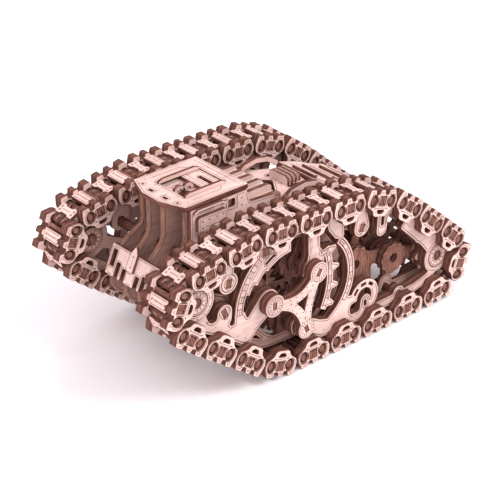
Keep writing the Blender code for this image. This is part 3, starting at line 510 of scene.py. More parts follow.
def board(loops, lo, hi, plane="XZ", bevel=0.28, base=FACE):
    """One sheet with a scorched, slightly eased rim: faces, rim and walls get their slots."""
    cu = bpy.data.curves.new("outline", "CURVE")
    cu.dimensions = "2D"
    cu.fill_mode = "BOTH"
    bevel = min(bevel, (hi - lo) * 0.3)
    cu.extrude = ((hi - lo) / 2 - bevel) * MM
    cu.bevel_depth = bevel * MM
    cu.offset = -bevel * MM
    cu.bevel_resolution = 0
    c, s = math.cos(SKEW), math.sin(SKEW)
    for pts in loops:
        sp = cu.splines.new("POLY")
        sp.points.add(len(pts) - 1)
        for i, (u, v) in enumerate(pts):
            sp.points[i].co = ((u * c - v * s) * MM, (u * s + v * c) * MM, 0, 1)
        sp.use_cyclic_u = True
    ob = bpy.data.objects.new("outline", cu)
    bpy.context.scene.collection.objects.link(ob)
    deps = bpy.context.evaluated_depsgraph_get()
    me = bpy.data.meshes.new_from_object(ob.evaluated_get(deps))
    bpy.data.objects.remove(ob, do_unlink=True)
    bpy.data.curves.remove(cu)
    me.materials.clear()
    for p in me.polygons:
        k = abs(p.normal.z)
        p.material_index = base if k > 0.97 else RIM if k > 0.25 else WALL
    me.transform(axes(plane, (lo + hi) / 2 * MM) @ Matrix.Rotation(-SKEW, 4, "Z"))
    return me


def strip(points, w, closed=False):
    """Quads of a thin band along a line."""
    pts = points + points[:1] if closed else points
    out = []
    for a, b in zip(pts, pts[1:]):
        d = math.dist(a, b)
        if d < 1e-4:
            continue
        nx, nz = -(b[1] - a[1]) / d * w / 2, (b[0] - a[0]) / d * w / 2
        ex, ez = (b[0] - a[0]) / d * w * 0.3, (b[1] - a[1]) / d * w * 0.3
        out.append([(a[0] + nx - ex, a[1] + nz - ez), (a[0] - nx - ex, a[1] - nz - ez),
                    (b[0] - nx + ex, b[1] - nz + ez), (b[0] + nx + ex, b[1] + nz + ez)])
    return out


def lines(w, *paths):
    """Several engraved lines of one width."""
    return [q for path in paths for q in strip(path, w)]


def dots(points, r=0.55):
    return [circle(p, r, 8) for p in points]


def ring(c, r, w=0.45, n=40, a0=0.0, a1=360.0):
    k = max(3, int(n * (a1 - a0) / 360))
    return strip([polar(c, r, a0 + (a1 - a0) * i / k) for i in range(k + 1)], w)


def rays(c, r0, r1, n, w=0.5, start=0.0):
    out = []
    for i in range(n):
        a = start + 360 * i / n
        out += strip([polar(c, r0, a), polar(c, r1, a)], w)
    return out


def contour(loops, d, w=0.45, keep=None):
    """A line engraved at a distance d inside every edge of some loops."""
    segs = [(a, b) for q in loops for a, b in zip(q, q[1:] + q[:1])]
    out = []
    for q in loops:
        pts = []
        n = len(q)
        for i in range(n):
            a, b = q[i], q[(i + 1) % n]
            ln = math.dist(a, b)
            if ln < 1e-6:
                continue
            k = max(1, int(ln / 3.0))
            nx, nz = -(b[1] - a[1]) / ln, (b[0] - a[0]) / ln
            for j in range(k):
                t = (j + 0.5) / k
                pts.append((a[0] + (b[0] - a[0]) * t + nx * d, a[1] + (b[1] - a[1]) * t + nz * d))
        ok = []
        for p in pts:
            good = keep is None or keep(p[0], p[1])
            if good:
                for a, b in segs:
                    if abs(a[0] - p[0]) > 25 and abs(b[0] - p[0]) > 25:
                        continue
                    dx, dz = b[0] - a[0], b[1] - a[1]
                    l2 = dx * dx + dz * dz
                    t = ((p[0] - a[0]) * dx + (p[1] - a[1]) * dz) / max(l2, 1e-9)
                    t = max(0.0, min(1.0, t))
                    if math.hypot(a[0] + dx * t - p[0], a[1] + dz * t - p[1]) < d * 0.93:
                        good = False
                        break
            ok.append(good)
        m = len(pts)
        for i in range(m):
            j = (i + 1) % m
            if ok[i] and ok[j] and math.dist(pts[i], pts[j]) < 6:
                out += strip([pts[i], pts[j]], w)
    return out


def ink(quads, at, plane="XZ", up=1):
    """Engraved marks, drawn as thin scorched strips on a face at height at."""
    bm = bmesh.new()
    for q in quads:
        if (signed_area(q) > 0) != (up > 0):
            q = q[::-1]
        vs = [bm.verts.new((u * MM, v * MM, 0)) for u, v in q]
        f = bm.faces.new(vs)
        f.material_index = INK
    me = bpy.data.meshes.new("ink")
    bm.to_mesh(me)
    bm.free()
    if plane == "XZ":
        # the sheet's drawing axis z points at -Y, so its sense is turned round
        me.flip_normals()
    me.transform(axes(plane, (at + INK_LIFT * up) * MM))
    return me


def joined(meshes):
    bm = bmesh.new()
    for me in meshes:
        bm.from_mesh(me)
    out = bpy.data.meshes.new("joined")
    bm.to_mesh(out)
    bm.free()
    return out


def place(name, meshes, body, nodes=(), skin=None):
    """One piece, moved from drawing x to frame x and put on a body."""
    me = joined(meshes)
    me.transform(Matrix.Translation((SHIFT * MM, 0, 0)))
    link(name, me, body, nodes, skin)


def link(name, me, body, nodes=(), skin=None):
    if not me.materials:
        for m in skin or SKIN:
            me.materials.append(m)
    ob = bpy.data.objects.new(name, me)
    bpy.context.scene.collection.objects.link(ob)
    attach(ob, body)
    if nodes:
        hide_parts(*nodes)


def side(name, s):
    return name + ("_left" if s > 0 else "_right")


def shaft_hole(at):
    return circle(at, SHAFT_R + 0.15, 24)


def peg(outline, lo, hi, bevel):
    """A pin, tenon or bar along Y, charred at its ends."""
    me = board([outline], lo, hi, "XZ", bevel)
    for p in me.polygons:
        p.material_index = DARK_CHAR_AND_SHADE if p.material_index == FACE else WALL
    return me


def flipped(me):
    """The same piece for the other side of the vehicle."""
    out = me.copy()
    out.transform(Matrix.Scale(-1, 4, (0, 1, 0)))
    out.flip_normals()
    return out


def both(name, meshes, body, skin=None, nodes=True):
    """A piece and its mirror image; body may depend on the side."""
    me = joined(meshes)
    me.transform(Matrix.Translation((SHIFT * MM, 0, 0)))
    for s in (1, -1):
        b = body(s) if callable(body) else body
        link(side(name, s), me if s > 0 else flipped(me), b,
             (side(name, s),) if nodes else (), skin)


# ------------------------------------------------------------------ the tracks
def ellipse(c, rx, rz, n=22):
    return [(c[0] + rx * math.cos(2 * math.pi * i / n), c[1] + rz * math.sin(2 * math.pi * i / n))
            for i in range(n)]


SHOE = [(-15.4, -9), (-9.7, -9), (-8.7, -5.1), (-4.9, -5.1), (-4.0, -9), (0.2, -9), (1.2, -5.1),
        (4.8, -5.1), (5.8, -9), (11.8, -9), (15.4, -1.8), (15.6, 1.4), (14.0, 4.6), (10.8, 6.6),
        (8.4, 8.2), (7.0, 11.2), (4.8, 12.4), (-4.8, 12.4), (-7.0, 11.2), (-8.4, 8.2),
        (-10.8, 6.6), (-14.8, 4.8), (-16.6, 1.4), (-16.6, -2.2)]
D_HOLE = [(-4.0, 7.0), (4.0, 7.0), (3.5, 8.8), (2.1, 10.1), (-2.1, 10.1), (-3.5, 8.8)]


def shoe_plate(y0, y1, face_at, up):
    """Two sheets with pin holes, tenon slots and a lightening hole, engraved on one face."""
    holes = [ellipse((x, 0), 3.5, 4.3) for x in (-PIN_X, PIN_X)]
    holes += [box2((x, -0.2), 2.9, 7.0) for x in (-2.1, 2.1)]
    holes.append(soften(D_HOLE, 1.0))
    loops = merged([soften(SHOE, 1.1)], holes)
    mid = (y0 + y1) / 2
    out = [board(loops, y0, mid), board(loops, mid, y1)]
    marks = []
    for x in (-PIN_X, PIN_X):
        a0, a1 = (100, 300) if x < 0 else (-120, 80)
        marks += ring((x, 0), 5.5, 0.4, 20, a0, a1)
        marks += strip(ellipse((x, 0), 4.0, 4.8), 0.75, True)
        marks += dots([polar((x, 0), 6.5, a) for a in (60, 120, 240, 300)], 0.5)
    marks += lines(0.9, *([(x, -3.2), (x, 3.4)] for x in (-4.7, 4.7)))
    marks += strip([(0, -3.6), (0, 3.6)], 0.7)
    marks += lines(0.5, [(-4.2, -4.1), (4.2, -4.1)], [(-4.2, 4.0), (4.2, 4.0)])
    marks += lines(0.4, [(-7.6, 6.4), (-4.6, 5.6), (4.6, 5.6), (7.6, 6.4)],
                   [(-13.6, -7.2), (-11.2, -7.0), (-10.6, -5.2)],
                   [(-2.9, -5.2), (-2.5, -7.2), (-1.3, -7.2), (-0.8, -5.2)],
                   [(6.8, -5.4), (7.4, -7.2), (11.0, -7.2)],
                   [(-13.8, 2.9), (-10.4, 4.6)], [(10.4, 4.6), (13.0, 3.0)])
    marks += dots([(-5.4, 8.8), (5.4, 8.8), (0, 11.3)], 0.35)
    out.append(ink(marks, face_at, up=up))
    return out


def plank(outline, lo, hi, base=FACE):
    return board([soften(outline, 0.5)], lo, hi, "XY", 0.22, base)


def shoe_mesh():
    """One shoe on the near side: two plates, two pins, a grouser pad on its tenons."""
    out = shoe_plate(Y_SHOE_OUT, Y_EDGE, Y_EDGE, 1)
    out += shoe_plate(Y_SHOE_IN, Y_SHOE_IN + 2 * T, Y_SHOE_IN, -1)
    out += [peg(ellipse((x, 0), 2.5, 3.2), Y_SHOE_IN + 0.9, Y_EDGE - 0.9, 0.3)
            for x in (-PIN_X, PIN_X)]
    out += [peg(box2((x, -0.6), 2.3, 5.6), Y_SHOE_IN + 0.3, Y_EDGE - 0.3, 0.2)
            for x in (-2.1, 2.1)]
    lo, hi = Y_SHOE_IN + 2 * T + 0.1, Y_SHOE_OUT - 0.1
    out.append(plank([(-6.4, lo), (2.6, lo), (2.6, hi), (-6.4, hi)], -6.6, -3.4))
    # The deeper plank takes the dark slot: painted shade in the recess between the plates.
    out.append(plank([(3.3, lo), (6.4, lo), (6.4, hi), (3.3, hi)], -4.5, -1.6, DARK_CHAR_AND_SHADE))
    top = lines(0.45, *([(x, lo + 2.0), (x, hi - 2.0)] for x in (-5.2, 1.4)))
    top += strip([(-1.9, lo + 5.0), (-1.9, hi - 5.0)], 0.6)
    top += dots([(-1.9, lo + 2.8), (-1.9, hi - 2.8)], 0.8)
    out.append(ink(top, -6.6, "XY", -1))
    return joined(out)


def hinge_mesh(h):
    """The link between two shoes: three knuckles and a waisted cover plank."""
    out = []
    lo, hi = Y_SHOE_IN + 2 * T + 0.2, Y_SHOE_OUT - 0.2
    mid = (lo + hi) / 2
    for y0 in (lo + 0.4, mid - 1.8, hi - 4.0):
        out.append(board(merged([capsule((-h, -0.9), (h, -0.9), 2.7, 10)]), y0, y0 + 3.6, "XZ"))
    flank = [(4.6, lo), (4.6, lo + 4.6), (3.1, lo + 6.4), (3.1, hi - 6.4), (4.6, hi - 4.6),
             (4.6, hi)]
    cover = flank + [(-x, y) for x, y in flank[::-1]]
    out.append(plank(cover, -6.2, -3.7))
    marks = dots([(-1.6, lo + 2.6), (1.6, hi - 2.6), (1.6, lo + 2.6), (-1.6, hi - 2.6)], 0.8)
    marks += strip([(0, lo + 5.4), (0, hi - 5.4)], 0.4)
    out.append(ink(marks, -6.2, "XY", -1))
    return joined(out)


def on_chord(me, p, q):
    mid = lerp(p, q, 0.5)
    turn = math.atan2(q[1] - p[1], q[0] - p[0])
    out = me.copy()
    out.transform(Matrix.Translation(Vector((mid[0] + SHIFT, 0, mid[1])) * MM)
                  @ Matrix.Rotation(-turn, 4, "Y"))
    return out


def tracks():
    pins = shoe_pins()
    shoe = shoe_mesh()
    link_at = math.dist(pins[0][1], pins[1][0]) / 2
    hinge = hinge_mesh(link_at)
    for i in range(SHOES):
        (p, q), nxt = pins[i], pins[(i + 1) % SHOES][0]
        a, b = on_chord(shoe, p, q), on_chord(hinge, q, nxt)
        for s in (1, -1):
            nodes = (side("track", s),) if i == 0 else ()
            for word, me, stands_for in (("shoe", a, nodes), ("hinge", b, ())):
                name = "%s_%02d" % (side(word, s), i)
                link(name, me if s > 0 else flipped(me), "chassis", stands_for)


# ------------------------------------------------------------------ side frames
def bores(points, r, n=28):
    return [circle(p, r, n) for p in points]


def bar_holes(names, grow=0.5):
    return [box2(BARS[k][0], BARS[k][1] + grow, BARS[k][2] + grow, BARS[k][3]) for k in names]


def z(*pts):
    return [(x, ZC + h) for x, h in pts]


def band(c, r0, r1, a0, a1, step):
    """An engraved band of blocks along an arc."""
    out = ring(c, r0, 0.5, 90, a0, a1) + ring(c, r1, 0.5, 90, a0, a1)
    a = a0
    k = 0
    while a <= a1 + 0.01:
        out += strip([polar(c, r0, a), polar(c, r1, a)], 0.6)
        m = (r0 + r1) / 2
        if a + step <= a1 + 0.01 and k % 2 == 0:
            out += strip([polar(c, m, a + step * 0.15), polar(c, m, a + step * 0.85)], 0.6)
        a += step
        k += 1
    return out


def frame_front():
    arc_c = (34.0, ZC - 2.0)
    shapes = [
        circle(FRONT, 15.6, 48),
        *rim(3.4, 10.4, lambda x, h: 28 < x < 122 and h > 30),
        capsule((121, ZC + 24), (116, ZC + 36), 5.0),
        capsule((93, ZC + 44), (94.5, ZC + 36), 4.6),
        circle((94.2, ZC + 30.4), 8.6, 36),
        z((131, 14), (116, 13.5), (113, 6), (110, 3.5), (106, 4), (104.4, 8), (91.6, 8),
          (93.8, -3), (91.8, -6), (89, -5.4), (88.3, 1), (79, 1), (76.6, -6.6), (73, -8.6),
          (66, -4), (57, -9), (63.5, -13), (73, -25.4), (77, -27), (82, -25.5), (99, -12.5),
          (119, -1)),
        capsule((98.4, ZC + 2), (98.0, ZC + 7.2), 7.0),
        sector(arc_c, 46.6, 54.6, -4, 22, 12),
        sector(arc_c, 43.0, 54.6, 20, 32, 6),
        sector(arc_c, 38.6, 54.6, 31, 52, 10),
        sector(arc_c, 36.4, 54.0, 50, 89, 18),
        circle((59.0, ZC + 43.0), 8.0, 36),
        capsule((79, ZC - 18), A, 6.6, 12, 10.4),
    ]
    holes = [circle(A, 4.4, 28)] + bar_holes(["bar_lobe", "bar_slot", "bar_node"])
    holes.append(box2((SEAM - 9.8, ZC + 45), 20, 40))
    holes.append(sector(arc_c, 41.6, 43.8, 54, 68, 8))
    loops = [eased(q, 1.8) for q in merged(shapes, holes)]
    y0 = Y_FRAME_OUT
    far = lambda x, h: math.dist((x, h), FRONT) > 16.4 and math.dist((x, h), A) > 8
    out = [board(loops, y0, y0 + T)]
    top = [eased(q, 1.8) for q in merged(shapes, holes + [circle(FRONT, CAP_BORE, 40)])]
    out.append(board(top, y0 + T, Y_FACE))
    marks = contour(top, 1.7, 0.55, far)
    marks += ring(FRONT, 14.2, 0.5) + ring(FRONT, 11.2, 0.4)
    marks += dots([polar(FRONT, 12.7, a) for a in range(0, 360, 30)], 0.6)
    marks += band(arc_c, 47.9, 52.6, 2, 86, 5.6)
    marks += ring(arc_c, 45.8, 0.4, 80, 34, 84)
    marks += dots([(59 + dx, ZC + 43 + dz) for dx, dz in ((5.4, 3.4), (-5.4, -3.4))], 0.45)
    marks += ring((94.2, ZC + 30.4), 6.6, 0.4) + ring((98, ZC + 7.2), 5.4, 0.4, 40, 0, 180)
    marks += dots([(114, ZC + 6), (107, ZC - 1), (86, ZC - 17), (79, ZC - 21)], 0.5)
    out.append(ink(marks, Y_FACE))
    both("frame_outer_front", out, "chassis")


def frame_rear():
    arc_c = (15.0, ZC - 4.0)
    hook = (-42.4, ZC - 33.5)
    teeth = [[polar(A, 64.0, a - 4.2), polar(A, 71.6, a - 0.9), polar(A, 71.6, a + 1.5),
              polar(A, 64.0, a + 3.6)] for a in (161.5, 175.5, 189.0, 201.5)]
    shapes = [
        *rim(3.2, 10.6, lambda x, h: x < 40 and h > -14 and (x > -116 or h > -10)),
        z((19.5, 48), (17.8, 38), (17.4, 25), (19.4, 14), (24.0, 8.5), (2.0, 8.5),
          (0.5, 22), (5.6, 27), (6.2, 38), (4.0, 48)),
        sector(A, 59.0, 65.5, 157, 207, 18), *teeth,
        circle(B, 8.8, 32),
        z((-0.5, 47), (-2.5, 38), (-9.5, 29), (-16.0, 26), (-19.0, 29), (-18.0, 38),
          (-19.0, 46)),
        sector(arc_c, 38.6, 45.8, 133, 250, 36),
        circle(C, 8.8, 32),
        z((27, -30), (12, -31), (4, -35.5), (-6, -38.5), (-15, -35), (-22, -26), (-29, -27),
          (-27, -42), (-38, -52), (2, -52), (14, -45), (26, -38)),
        sector(hook, 7.6, 15.0, -8, 200, 30),
        capsule((-43.0, ZC - 46), (-44.0, ZC - 37.5), 5.4),
        ribbon(z((-30, -48.6), (-60, -48.6), (-98, -47.0), (-113, -43.6), (-121, -37)), 8.4),
        circle((-80.5, ZC - 45.0), 6.2, 28),
        circle(REAR, 14.6, 48),
        ribbon(z((-117, -18), (-108.5, -7.5), (-96, 4.5), (-83, 17)), 11.5),
        circle((-101.5, ZC - 2.5), 5.2, 24),
        capsule((-60.2, ZC + 36), (-58.6, ZC + 19), 6.4, 12, 5.4),
        capsule((-36.5, ZC + 43), (-37.2, ZC + 29), 4.6, 12, 8.0),
        sector(hook, 8.0, 15.0, 195, 262, 12),
    ]
    holes = [circle(B, 4.4, 28), circle(C, 4.4, 28)] + bar_holes(["bar_diamond", "bar_knob"])
    holes.append(box2((SEAM + 9.8, ZC + 45), 20, 40))
    holes += [box2(polar(hook, 11.2, a), 5.4, 2.4, a + 90) for a in (38, 84, 128)]
    holes.append(capsule((-59.6, ZC + 30), (-59.2, ZC + 24), 1.5))
    holes.append(capsule((-44.0, ZC - 41), (-43.6, ZC - 38), 1.4))
    loops = [eased(q, 3.0) for q in merged(shapes, holes)]
    top = [eased(q, 3.0) for q in merged(shapes, holes + [circle(REAR, CAP_BORE, 40)])]
    y0 = Y_FRAME_OUT
    out = [board(loops, y0, y0 + T), board(top, y0 + T, Y_FACE)]
    far = lambda x, h: math.dist((x, h), REAR) > 15.4
    marks = contour(top, 1.6, 0.55, far)
    marks += ring(REAR, 13.2, 0.45) + ring(REAR, 10.9, 0.4)
    marks += dots([polar(REAR, 12.1, a) for a in range(0, 360, 36)], 0.5)
    marks += band(arc_c, 40.6, 43.8, 136, 214, 7.8)
    marks += band(A, 61.0, 63.8, 159, 205, 5.6)
    marks += ring((4, ZC + 22), 2.6, 0.4, 20) + dots([(4, ZC + 22)], 0.9)
    marks += strip(z((14.8, 41), (14.0, 33), (14.4, 25)), 0.4)
    marks += strip(z((8.4, 41), (9.0, 30)), 0.4)
    marks += dots(z((-8, -44), (0, -46), (14, -38), (-60, -48.6), (-72, -48.4), (-96, -47)), 0.5)
    marks += strip(z((-90, 10), (-82, 20), (-70, 31)), 0.4)
    out.append(ink(marks, Y_FACE))
    both("frame_outer_rear", out, "chassis")


def frame_inner():
    outer, inner = inset_loop(4.6, 8.0), inset_loop(13.2, 8.0)
    n = len(outer)
    edge = [[outer[i], outer[(i + 1) % n], inner[(i + 1) % n], inner[i]] for i in range(n)]
    ring_c = (20.0, ZC - 7.0)
    shapes = [
        *edge,
        circle(FRONT, 17.0, 40), circle(REAR, 14.6, 40),
        sector(ring_c, 40.0, 47.0, 28, 152, 30), sector(ring_c, 39.6, 51.0, 149, 216, 18),
        sector(ring_c, 39.8, 45.2, 213, 326, 28), sector(ring_c, 39.8, 46.6, 322, 393, 18),
        ribbon(z((84, 5), (110, 18)), 10.0),
        capsule((94, ZC + 30), (93, ZC + 38.5), 8.0), circle((98, ZC + 7), 8.0, 30),
        circle((59, ZC + 43), 8.0, 30),
        capsule((-37.5, ZC + 28), (-36, ZC + 40), 7.6),
        capsule((-80, ZC - 44), (-81, ZC - 41), 7.0),
    ]
    straps = [
        circle(A, 12.6, 36), capsule((70, ZC - 14), A, 6.0),
        capsule(B, (4, ZC + 36), 6.6), circle(B, 9.0, 30),
        capsule(C, (29, ZC - 45), 7.0), circle(C, 8.4, 30),
        ribbon(z((60, 2), (84, 5), (90, 8)), 10.0),
        ribbon([(-27, ZC - 14), D, E, (REAR[0] + 14, REAR[1] + 2)], 11.0),
        circle(D, 10.0, 30), circle(E, 10.0, 30),
        ribbon([E, (-82, ZC - 44)], 9.0), ribbon([D, (-58, ZC + 42)], 8.0),
        ribbon([(-55, ZC - 10), (-57, ZC - 44)], 17.0),
    ]
    holes = bores([FRONT, REAR, A, B, C, D, E], 4.4) + bar_holes(BARS)
    loops = [eased(q, 2.2) for q in merged(shapes, holes)]
    # The straps round the hubs take the dark slot: painted shade inside the hull.
    dark = [eased(q, 2.2) for q in merged(straps, holes)]
    y0, y1 = Y_FRAME_IN, Y_FRAME_IN + T
    marks = contour(loops, 1.8, 0.55)
    marks += ring(ring_c, 43.2, 0.4, 90, 30, 150) + ring(FRONT, 11.0, 0.5) + ring(FRONT, 7.6, 0.5)
    marks += rays(FRONT, 7.6, 11.0, 16)
    back = ring(FRONT, 12.0, 0.5) + ring(FRONT, 8.0, 0.5) + rays(FRONT, 8.0, 12.0, 12)
    out = [board(loops, y0, y1), board(dark, y0 + 0.2, y1 - 0.2, "XZ", 0.28, DARK_CHAR_AND_SHADE)]
    out += [ink(marks, y1), ink(contour(dark, 1.6, 0.5), y1 - 0.2), ink(back, y0, up=-1)]
    washer = merged([circle(FRONT, 9.6, 40)], [circle(FRONT, SHAFT_R + 0.3, 24)])
    out.append(board(washer, y0 - 2.4, y0 - 0.1, "XZ", 0.25))
    marks = ring(FRONT, 8.4, 0.5) + rays(FRONT, 5.0, 7.4, 12, 0.8) + ring(FRONT, 4.9, 0.5)
    out.append(ink(marks, y0 - 2.4, up=-1))
    both("frame_inner", out, "chassis", SKIN_INNER_SHADE)


def bow(p, q, mid, lift, w0, w1):
    """An arm from hub to hub that bows towards the middle and thins out there."""
    n = 16
    ux, uz = q[0] - p[0], q[1] - p[1]
    ln = math.hypot(ux, uz)
    nx, nz = -uz / ln, ux / ln
    if (mid[0] - p[0]) * nx + (mid[1] - p[1]) * nz < 0:
        nx, nz = -nx, -nz
    inner, outer = [], []
    for i in range(n + 1):
        t = i / n
        bump = math.sin(math.pi * t)
        off, w = lift * bump, w0 + (w1 - w0) * bump
        x, h = p[0] + ux * t + nx * off, p[1] + uz * t + nz * off
        outer.append((x - nx * w / 2, h - nz * w / 2))
        inner.append((x + nx * w / 2, h + nz * w / 2))
    return outer + inner[::-1]


def tri_arm():
    """Three-armed bearing bracket that stands proud of the outer frame."""
    mid = ((A[0] + B[0] + C[0]) / 3, (A[1] + B[1] + C[1]) / 3)
    shapes = [circle(A, 9.0, 48), circle(B, 8.8, 48), circle(C, 8.3, 48),
              bow(A, B, mid, 8.0, 11.0, 7.4), bow(A, C, mid, 7.0, 11.0, 7.4),
              bow(B, C, mid, 3.2, 9.0, 7.4)]
    holes = [box2(A, 3.4, 5.8), box2(B, 3.4, 5.8, 30), box2(C, 3.4, 5.8, -20)]
    loops = [eased(q, 3.0) for q in merged(shapes, holes)]
    y0 = Y_SHOE_OUT
    out = [board(loops, y0 + k * T, y0 + (k + 1) * T, "XZ", 0.3) for k in (0, 1)]
    marks = []
    for c in (A, B, C):
        marks += ring(c, 7.2, 0.5) + rays(c, 4.2, 6.2, 14, 0.6, 15)
    for p, q, lift in ((A, B, 8.0), (A, C, 7.0), (B, C, 3.2)):
        path = bow(p, q, mid, lift, 0.01, 0.01)[:17]
        for k in (5, 7, 9, 11, 13):
            d = math.degrees(math.atan2(q[1] - p[1], q[0] - p[0])) + 90
            marks += dots([polar(path[k], 2.2, d), polar(path[k], 2.2, d + 180)], 0.6)
    out.append(ink(marks, y0 + 2 * T))
    both("tri_arm", out, "chassis")


# ------------------------------------------------------------------ turning pieces
def shaft(name, at, y0, y1, body, node):
    """A round shaft with a slotted tenon shown at each end."""
    out = [peg(circle(at, SHAFT_R, 28), y0 + 0.9, y1 - 0.9, 0.3)]
    out.append(board([box2(at, 2.6, 5.0)], y0, y1, "XZ", 0.25, DARK_CHAR_AND_SHADE))
    out.append(peg(circle(at, SHAFT_R + 0.35, 28), y0 + 6, y0 + 9, 0.3))
    place(name, out, body, (node,))


def gear(name, at, teeth, phase, y0, body, holes=4):
    r = MODULE * teeth / 2
    pts = [(at[0] + x, at[1] + h) for x, h in gear_outline(teeth, phase)]
    cuts = [shaft_hole(at)]
    if r > 20:
        for i in range(holes):
            a = phase + 10 + 360 * i / holes
            cuts.append(soften(sector(at, 9.5, r - 7.0, a - 27, a + 27, 6), 1.5))
    loops = merged([pts], cuts)
    out = [board(loops, y0, y0 + T, "XZ", 0.25)]
    marks = ring(at, r - 4.6, 0.5, 60) + ring(at, 7.4, 0.45) + rays(at, 5.6, 7.4, 12)
    if r > 20:
        pitch = 360 / teeth
        marks += dots([polar(at, r - 3.4, phase + pitch * (i + 0.5)) for i in range(teeth)], 0.4)
    out += [ink(marks, y0 + T), ink(marks, y0, up=-1)]
    place(name, out, body, (name,), SKIN_GEAR)


def gears():
    pa = 7.5
    pb = phase_for(A, B, TEETH_A, pa, TEETH_B)
    pc = phase_for(A, C, TEETH_A, pa, TEETH_C)
    pd = phase_for(B, D, TEETH_B2, 0.0, TEETH_D)
    pe = phase_for(D, E, TEETH_D, pd, TEETH_E)
    pr = phase_for(E, REAR, TEETH_E2, 0.0, TEETH_R)
    gear("gear_motor", A, TEETH_A, pa, PLANE_1, "motor_shaft")
    gear("pinion_upper", B, TEETH_B, pb, PLANE_1, "upper_shaft")
    gear("pinion_lower", C, TEETH_C, pc, PLANE_1, "lower_shaft")
    gear("gear_upper", B, TEETH_B2, 0.0, PLANE_2, "upper_shaft")
    gear("gear_middle", D, TEETH_D, pd, PLANE_2, "middle_shaft")
    gear("pinion_rear", E, TEETH_E, pe, PLANE_2, "rear_shaft")
    gear("gear_rear", E, TEETH_E2, 0.0, PLANE_3, "rear_shaft")
    gear("gear_drive", REAR, TEETH_R, pr, PLANE_3, "drive_axle", 5)


def spool(at, y0, y1, core, flange):
    """A winding drum: notched flanges on a core of glued rings."""
    thick = 2.4
    notched = [polar(at, flange + (0.5 if i % 4 < 2 else -0.5), 360 * i / 48) for i in range(48)]
    # Flanges and core rings take the dark slot: painted shade for drums deep inside the hull.
    out = [board(merged([notched], [shaft_hole(at)]), lo, lo + thick, "XZ", 0.25, DARK_CHAR_AND_SHADE)
           for lo in (y0, y1 - thick)]
    n = max(1, int((y1 - y0 - 2 * thick) / 3.0))
    step = (y1 - y0 - 2 * thick) / n
    for i in range(n):
        lo = y0 + thick + i * step
        core_ring = circle(at, core - 0.8 * (i % 2), 30)
        out.append(board(merged([core_ring], [shaft_hole(at)]), lo, lo + step, "XZ", 0.35, DARK_CHAR_AND_SHADE))
    marks = ring(at, flange - 2.0, 0.45) + rays(at, SHAFT_R + 1.2, flange - 3.2, 10, 0.5)
    return out + [ink(marks, y1), ink(marks, y0, up=-1)]


def turning():
    inner = Y_FRAME_IN + T + 1.5
    for word, at, end in (("motor", A, Y_EDGE), ("upper", B, Y_EDGE), ("lower", C, Y_EDGE),
                          ("middle", D, inner), ("rear", E, inner)):
        shaft("axle_shaft_" + word, at, -end, end, word + "_shaft", "shaft_" + word)
    shaft("axle_back", REAR, -Y_FACE, Y_FACE, "drive_axle", "axle_rear")
    shaft("axle_nose_left", FRONT, STUB, Y_FACE, "idler_left", "axle_front_left")
    shaft("axle_nose_right", FRONT, -Y_FACE, -STUB, "idler_right", "axle_front_right")
    gears()
    place("drum_motor", spool(A, -8.0, 8.0, 8.0, 14.0), "motor_shaft", ("drum_motor",))
    for kind, word, at, y0, y1, core, flange in (
            ("spool", "upper", B, 45.6, 52.8, 10.5, 15.0),
            ("spool", "lower", C, 45.6, 52.8, 9.0, 13.5),
            ("spool", "middle", D, 45.6, 52.6, 7.6, 11.6),
            ("spool", "rear", E, 45.6, 52.6, 6.2, 10.0),
            ("drum", "middle", D, 57.9, 64.0, 11.4, 14.6),
            ("drum", "rear", E, 57.9, 64.0, 9.6, 12.6)):
        both(kind + "_" + word, spool(at, y0, y1, core, flange), word + "_shaft",
             nodes=False)
    for at, kind, r0, r1, body in ((FRONT, "front", 14.6, 18.4, lambda s: side("idler", s)),
                                   (REAR, "rear", 12.8, 16.6, "drive_axle")):
        cap = merged([circle(at, CAP_R, 40)], [shaft_hole(at)])
        marks = ring(at, 8.2, 0.45) + rays(at, 5.4, 7.4, 12, 0.6) + ring(at, 5.2, 0.4)
        both("cap_" + kind, [board(cap, Y_FACE - T + 0.2, Y_FACE, "XZ", 0.3),
                             ink(marks, Y_FACE)], body)
        pts = [(at[0] + x, at[1] + h) for x, h in lobed(r0, r1, 8, 4)]
        cuts = [shaft_hole(at)]
        cuts += [circle(polar(at, 9.2, 360 * i / 6 + 22), 2.4, 16) for i in range(6)]
        y0, y1 = Y_FRAME_IN + T + 0.9, Y_FRAME_OUT - 0.9
        both("sprocket_" + kind, [board(merged([pts], cuts), y0, y1, "XZ", 0.3),
                                  ink(ring(at, 12.4, 0.45), y1)], body)


def cross_bars():
    for name, (c, w, h, deg) in BARS.items():
        short = name in ("bar_node", "bar_knob")
        start = Y_FRAME_IN if short else -Y_FACE
        bar = [board([box2(c, w, h, deg)], start, Y_FACE, "XZ", 0.25, DARK_CHAR_AND_SHADE)]
        if short:
            both(name, bar, "chassis")
        else:
            place(name, bar, "chassis", (name,))


